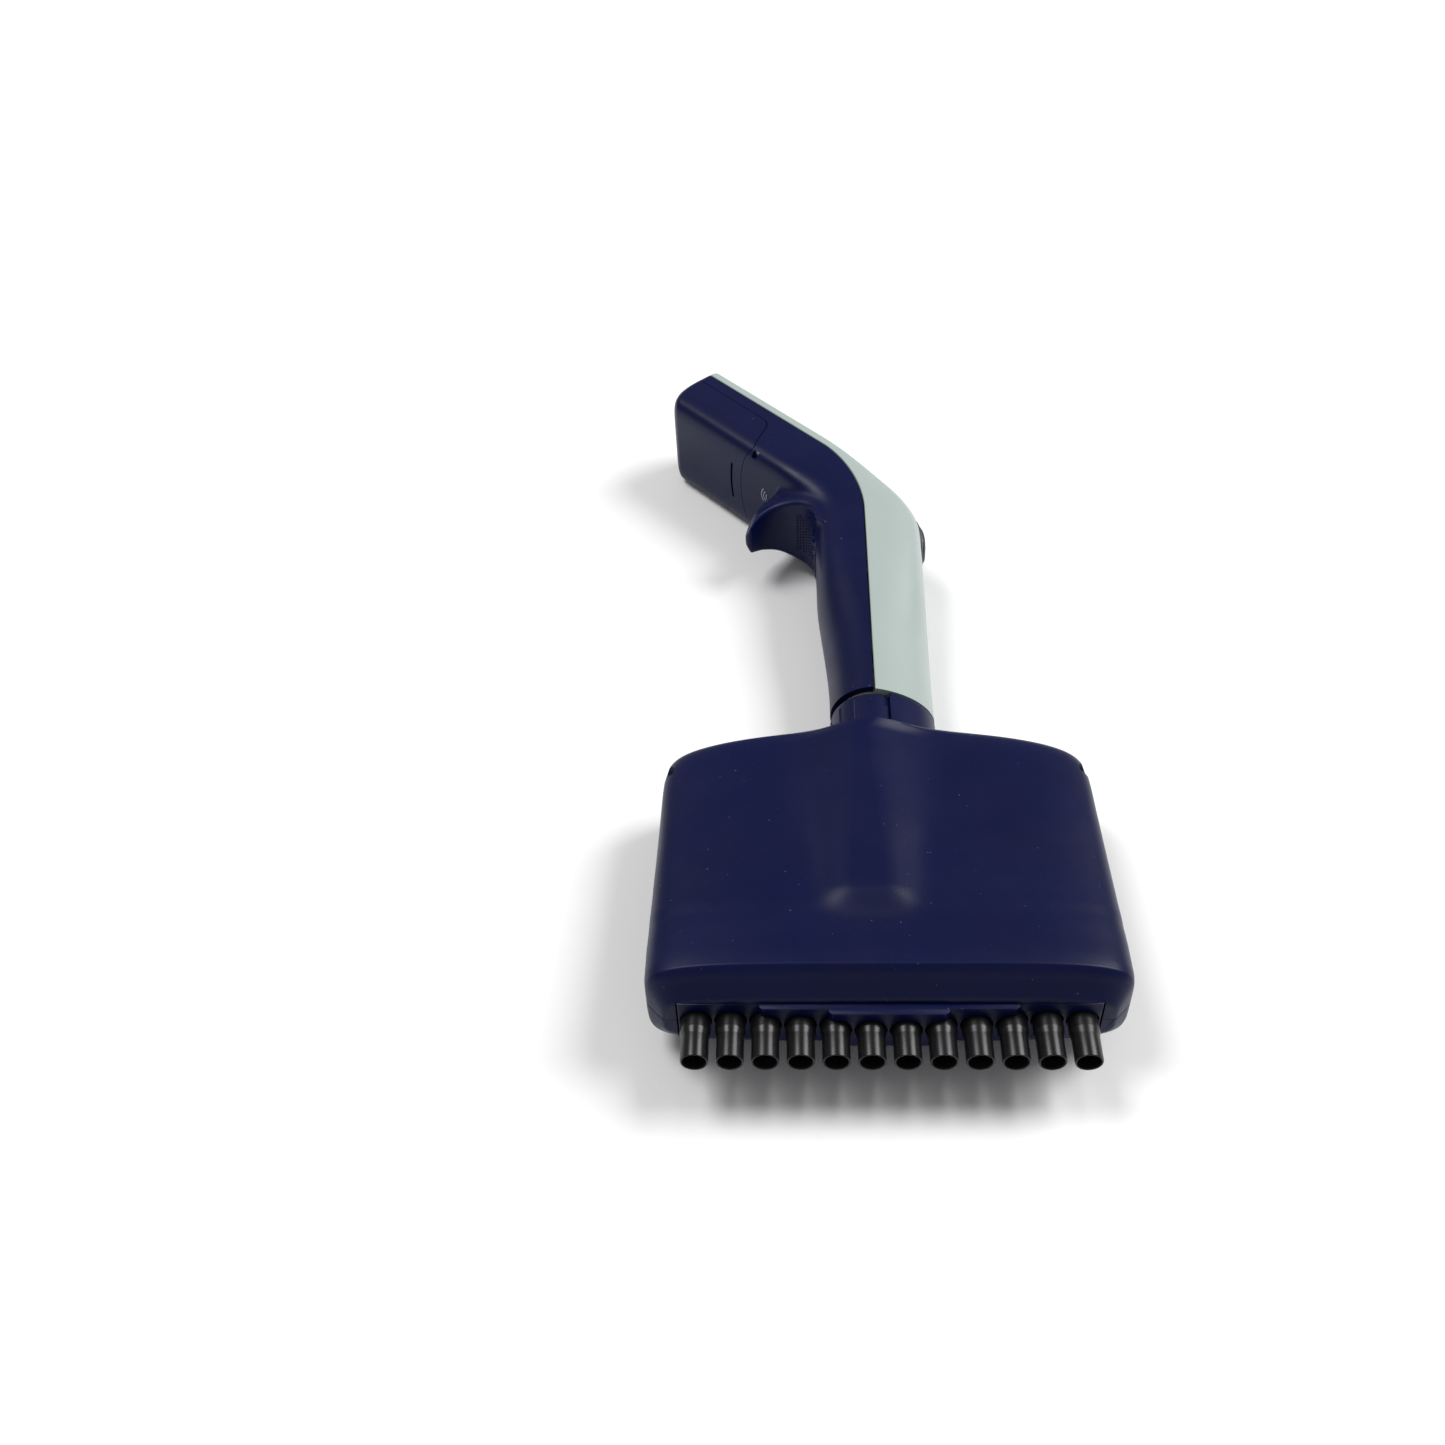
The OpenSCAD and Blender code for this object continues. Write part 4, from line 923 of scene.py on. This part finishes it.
def thumb_group():
    """The bezel follows the cover; the button is a dome with a groove round its middle."""
    def surface(y, z):
        """Height of the body's front above the button's base plane."""
        best = None
        for t in np.linspace(190, 232, 85):
            depth, width, power = front_depth(t), half_width(t), squareness(t)
            q = depth * max(1 - abs(z / width) ** power, 0) ** (1 / power)
            a = turn(t)
            px = seam(t)[0] + q * math.cos(a)
            py = seam(t)[1] + q * math.sin(a)
            ly = -(px - THUMB_AT[0]) * math.sin(THUMB_LEAN) + (py - THUMB_AT[1]) * math.cos(THUMB_LEAN)
            lx = (px - THUMB_AT[0]) * math.cos(THUMB_LEAN) + (py - THUMB_AT[1]) * math.sin(THUMB_LEAN)
            if best is None or abs(ly - y) < best[0]:
                best = (abs(ly - y), lx)
        return best[1]

    angles = np.linspace(0, 2 * math.pi, 72, endpoint=False)
    grid_y = np.linspace(-14, 14, 29)
    table_x = np.array([[surface(y, z) for z in (0, 3, 6, 9)] for y in grid_y])

    def base(y, z):
        cols = [np.interp(y, grid_y, table_x[:, k]) for k in range(4)]
        return np.interp(abs(z), (0, 3, 6, 9), cols)

    def ring_at(long, wide, lift):
        return np.array([thumb_point(base(long * math.cos(a), wide * math.sin(a)) + lift,
                                     long * math.cos(a), wide * math.sin(a)) for a in angles])

    def flat_ring(long, wide, x):
        return np.array([thumb_point(x, long * math.cos(a), wide * math.sin(a)) for a in angles])

    L, W = THUMB_LONG, THUMB_WIDE
    # Each step of a profile: how much shorter, how much narrower, and the height over the cover
    bezel_steps = [(0, 0, 0.0), (0.05, 0.05, 0.35), (0.3, 0.3, 0.65), (0.8, 0.75, 0.8), (1.9, 1.5, 0.75),
                   (2.4, 1.95, 0.5), (2.6, 2.1, 0.1)]
    outer = [flat_ring(L, W, -4)]
    outer += [ring_at(L - short, W - narrow, lift) for short, narrow, lift in bezel_steps]
    outer.append(flat_ring(L - 2.6, W - 2.1, -4))
    points = np.concatenate(outer)
    faces, n = [], len(angles)
    for i in range(len(outer)):
        a, b = i * n, ((i + 1) % len(outer)) * n
        for j in range(n):
            k = (j + 1) % n
            faces.append((a + j, a + k, b + k, b + j))
    bezel = make_mesh("bezel_thumb", points, faces)
    soften(bezel, 60)
    finish_piece(bezel, "grip", DARK, "black_plastic", "thumb_bezel")

    l, w = L - 3, W - 2.5
    button_steps = [(0, 0, 0.6), (0.1, 0.1, 1.1), (0.45, 0.4, 1.6), (1.0, 0.85, 1.9), (1.7, 1.4, 2.0),
                    (2.2, 1.75, 1.9), (2.5, 2.0, 1.55), (2.8, 2.2, 1.5), (3.1, 2.4, 1.9),
                    (3.6, 2.8, 2.15), (5.2, 3.9, 2.2), (7.2, 5.0, 2.15), (8.6, 5.8, 2.1)]
    loops = [flat_ring(l, w, -2.4)]
    loops += [ring_at(l - short, w - narrow, lift) for short, narrow, lift in button_steps]
    button = loft("button_thumb", loops)
    soften(button, 60)
    finish_piece(button, "thumb", DARK, "dark_plastic", "thumb_button")


def trigger_pad():
    """Finger pad with rows of small studs."""
    def studs(y, z):
        return 0.55 * max(0, math.cos(math.pi * (y - 205.5) / 1.9)) ** 1.5 * max(
            0, math.cos(math.pi * z / 1.9)) ** 1.5

    ys, zs = np.linspace(200.9, 210.1, 74), np.linspace(-7.7, 7.7, 124)
    points, faces = [], []
    for y in ys:
        for z in zs:
            edge = min(1, (y - ys[0]) / 0.6, (ys[-1] - y) / 0.6, (z - zs[0]) / 0.6, (zs[-1] - z) / 0.6)
            round_off = 0.5 * (1 - math.sqrt(max(0, 1 - (1 - edge) ** 2)))
            x = -16.0 - studs(y, z) * ease((edge - 0.6) / 0.4) + round_off + 0.35 * (z / 7.7) ** 2
            points.append((x, y, z))
    n, m = len(ys), len(zs)
    for i in range(n - 1):
        for j in range(m - 1):
            faces.append((i * m + j, i * m + j + 1, (i + 1) * m + j + 1, (i + 1) * m + j))
    rim = ([i * m for i in range(n)] + [(n - 1) * m + j for j in range(1, m)]
           + [i * m + m - 1 for i in range(n - 2, -1, -1)] + [j for j in range(m - 2, 0, -1)])
    low = len(points)
    points += [(-12.3, points[k][1], points[k][2]) for k in rim]
    for k in range(len(rim)):
        a, b = rim[k], rim[(k + 1) % len(rim)]
        faces.append((a, b, low + (k + 1) % len(rim), low + k))
    faces.append(tuple(range(low, low + len(rim))))
    obj = make_mesh("pad_trigger", points, faces)
    soften(obj, 50)
    obj.data.materials.append(NAVY)
    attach(obj, "finger_trigger")
    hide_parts("trigger")


def root_studs():
    """Rows of small grip studs where the hook grows out of the grip."""
    curve = spline([(-15.2, 206), (-16.2, 210.5), (-18.5, 214.2), (-22, 216.6), (-26, 217.9)], 12)
    steps = np.r_[0, np.cumsum(np.linalg.norm(np.diff(curve, axis=0), axis=1))]
    points, faces = [], []
    spacing, reach = 1.25, 0.2
    for row, at in enumerate(np.arange(5.4, 13.0, spacing)):
        before, (x, y), after = [[np.interp(d, steps, curve[:, k]) for k in (0, 1)]
                                 for d in (at - reach, at, at + reach)]
        dx, dy = after[0] - before[0], after[1] - before[1]
        tangent = np.array([dx, dy, 0]) / math.hypot(dx, dy)
        out = np.array([-abs(tangent[1]), -abs(tangent[0]), 0])
        for col in range(-6, 7):
            centre = np.array([x, y, col * spacing + (row % 2) * 0.62])
            base = len(points)
            for r, lift in ((0.46, -0.5), (0.46, 0.02), (0.38, 0.2), (0.2, 0.32)):
                for a in np.linspace(0, 2 * math.pi, 14, endpoint=False):
                    points.append(tuple(centre + out * lift + r * (math.cos(a) * tangent + math.sin(a)
                                                                   * np.array([0, 0, 1.0]))))
            for ring in range(3):
                for k in range(14):
                    a, b = base + ring * 14, base + (ring + 1) * 14
                    faces.append((a + k, a + (k + 1) % 14, b + (k + 1) % 14, b + k))
            faces.append(tuple(base + k for k in range(13, -1, -1)))
            faces.append(tuple(base + 42 + k for k in range(14)))
    obj = make_mesh("studs_hook", points, faces)
    soften(obj, 50)
    finish_piece(obj, "grip", NAVY, "navy_plastic")


def antenna_mark():
    """Three arcs, slightly raised, that mark the place of the radio antenna."""
    pieces = []
    for r in (1.3, 2.5, 3.7):
        loops = []
        for a in np.radians(np.linspace(-48, 48, 20)):
            ring = []
            for w, v in ((-0.22, 21.1), (-0.22, 21.62), (0.22, 21.62), (0.22, 21.1)):
                ring.append((*head_xy(5.2 + (r + w) * math.cos(a), v), 2.6 + (r + w) * math.sin(a)))
            loops.append(np.array(ring))
        pieces.append(loft("arc", loops, smooth=False))
    obj = join("mark_antenna", *pieces)
    finish_piece(obj, "grip", MARK, "navy_plastic")


MARK = moulded("mark_grey", (0.22, 0.24, 0.30), (0.1, 0.1, 0.14), rough=(0.5, 0.6))

front_cover()
rear_shell()
battery_cover()
case_half("case_front", 1, "front_case")
case_half("case_rear", -1, "rear_case")
nozzles()
release_ring()
stripper_bar()
shroud()
thumb_group()
trigger_pad()
root_studs()
antenna_mark()

# ---------------------------------------------------------------- stage
floor_mesh = bpy.data.meshes.new("floor")
size, rows = 3.0, 24
verts = [(-size + 2 * size * i / rows, -size + 2 * size * j / rows, -0.0002)
         for i in range(rows + 1) for j in range(rows + 1)]
quads = [(i * (rows + 1) + j, (i + 1) * (rows + 1) + j, (i + 1) * (rows + 1) + j + 1, i * (rows + 1) + j + 1)
         for i in range(rows) for j in range(rows)]
floor_mesh.from_pydata(verts, [], quads)
floor = bpy.data.objects.new("floor", floor_mesh)
bpy.context.scene.collection.objects.link(floor)
paper = Paint("white_paper")
paper.link(paper.mix(paper.ramp(paper.noise(6, 3), [(0.3, (0, 0, 0)), (0.7, (1, 1, 1))]),
                     (0.90, 0.90, 0.90), (0.92, 0.92, 0.92)), paper.shader.inputs["Base Color"])
paper.shader.inputs["Roughness"].default_value = 0.9
floor.data.materials.append(paper.mat)

world = bpy.data.worlds.new("studio")
bpy.context.scene.world = world
world.use_nodes = True
world.node_tree.nodes["Background"].inputs["Color"].default_value = (1.0, 1.0, 1.0, 1)
world.node_tree.nodes["Background"].inputs["Strength"].default_value = 0.30


def area_light(name, at, aim, size, power):
    data = bpy.data.lights.new(name, "AREA")
    data.shape = "RECTANGLE"
    data.size, data.size_y = size
    data.energy = power
    lamp = bpy.data.objects.new(name, data)
    lamp.location = at
    lamp.rotation_euler = (Vector(aim) - Vector(at)).to_track_quat("-Z", "Y").to_euler()
    bpy.context.scene.collection.objects.link(lamp)


area_light("key", (1.5, 0.45, 1.7), (0, 0, 0), (1.1, 1.1), 44)
area_light("fill", (-1.0, 0.36, 2.0), (0, 0, 0), (0.9, 0.9), 27)

camera_data = bpy.data.cameras.new("camera")
camera_data.lens = 38.118
camera_data.sensor_width = 36
camera_data.clip_start = 0.01
camera = bpy.data.objects.new("camera", camera_data)
camera.location = (-0.0209186, -0.3595422, 0.3513349)
camera.rotation_euler = [math.radians(a) for a in (45.20266, 2.32177, 1.52722)]
bpy.context.scene.collection.objects.link(camera)
bpy.context.scene.camera = camera
bpy.context.scene.view_settings.view_transform = "Standard"
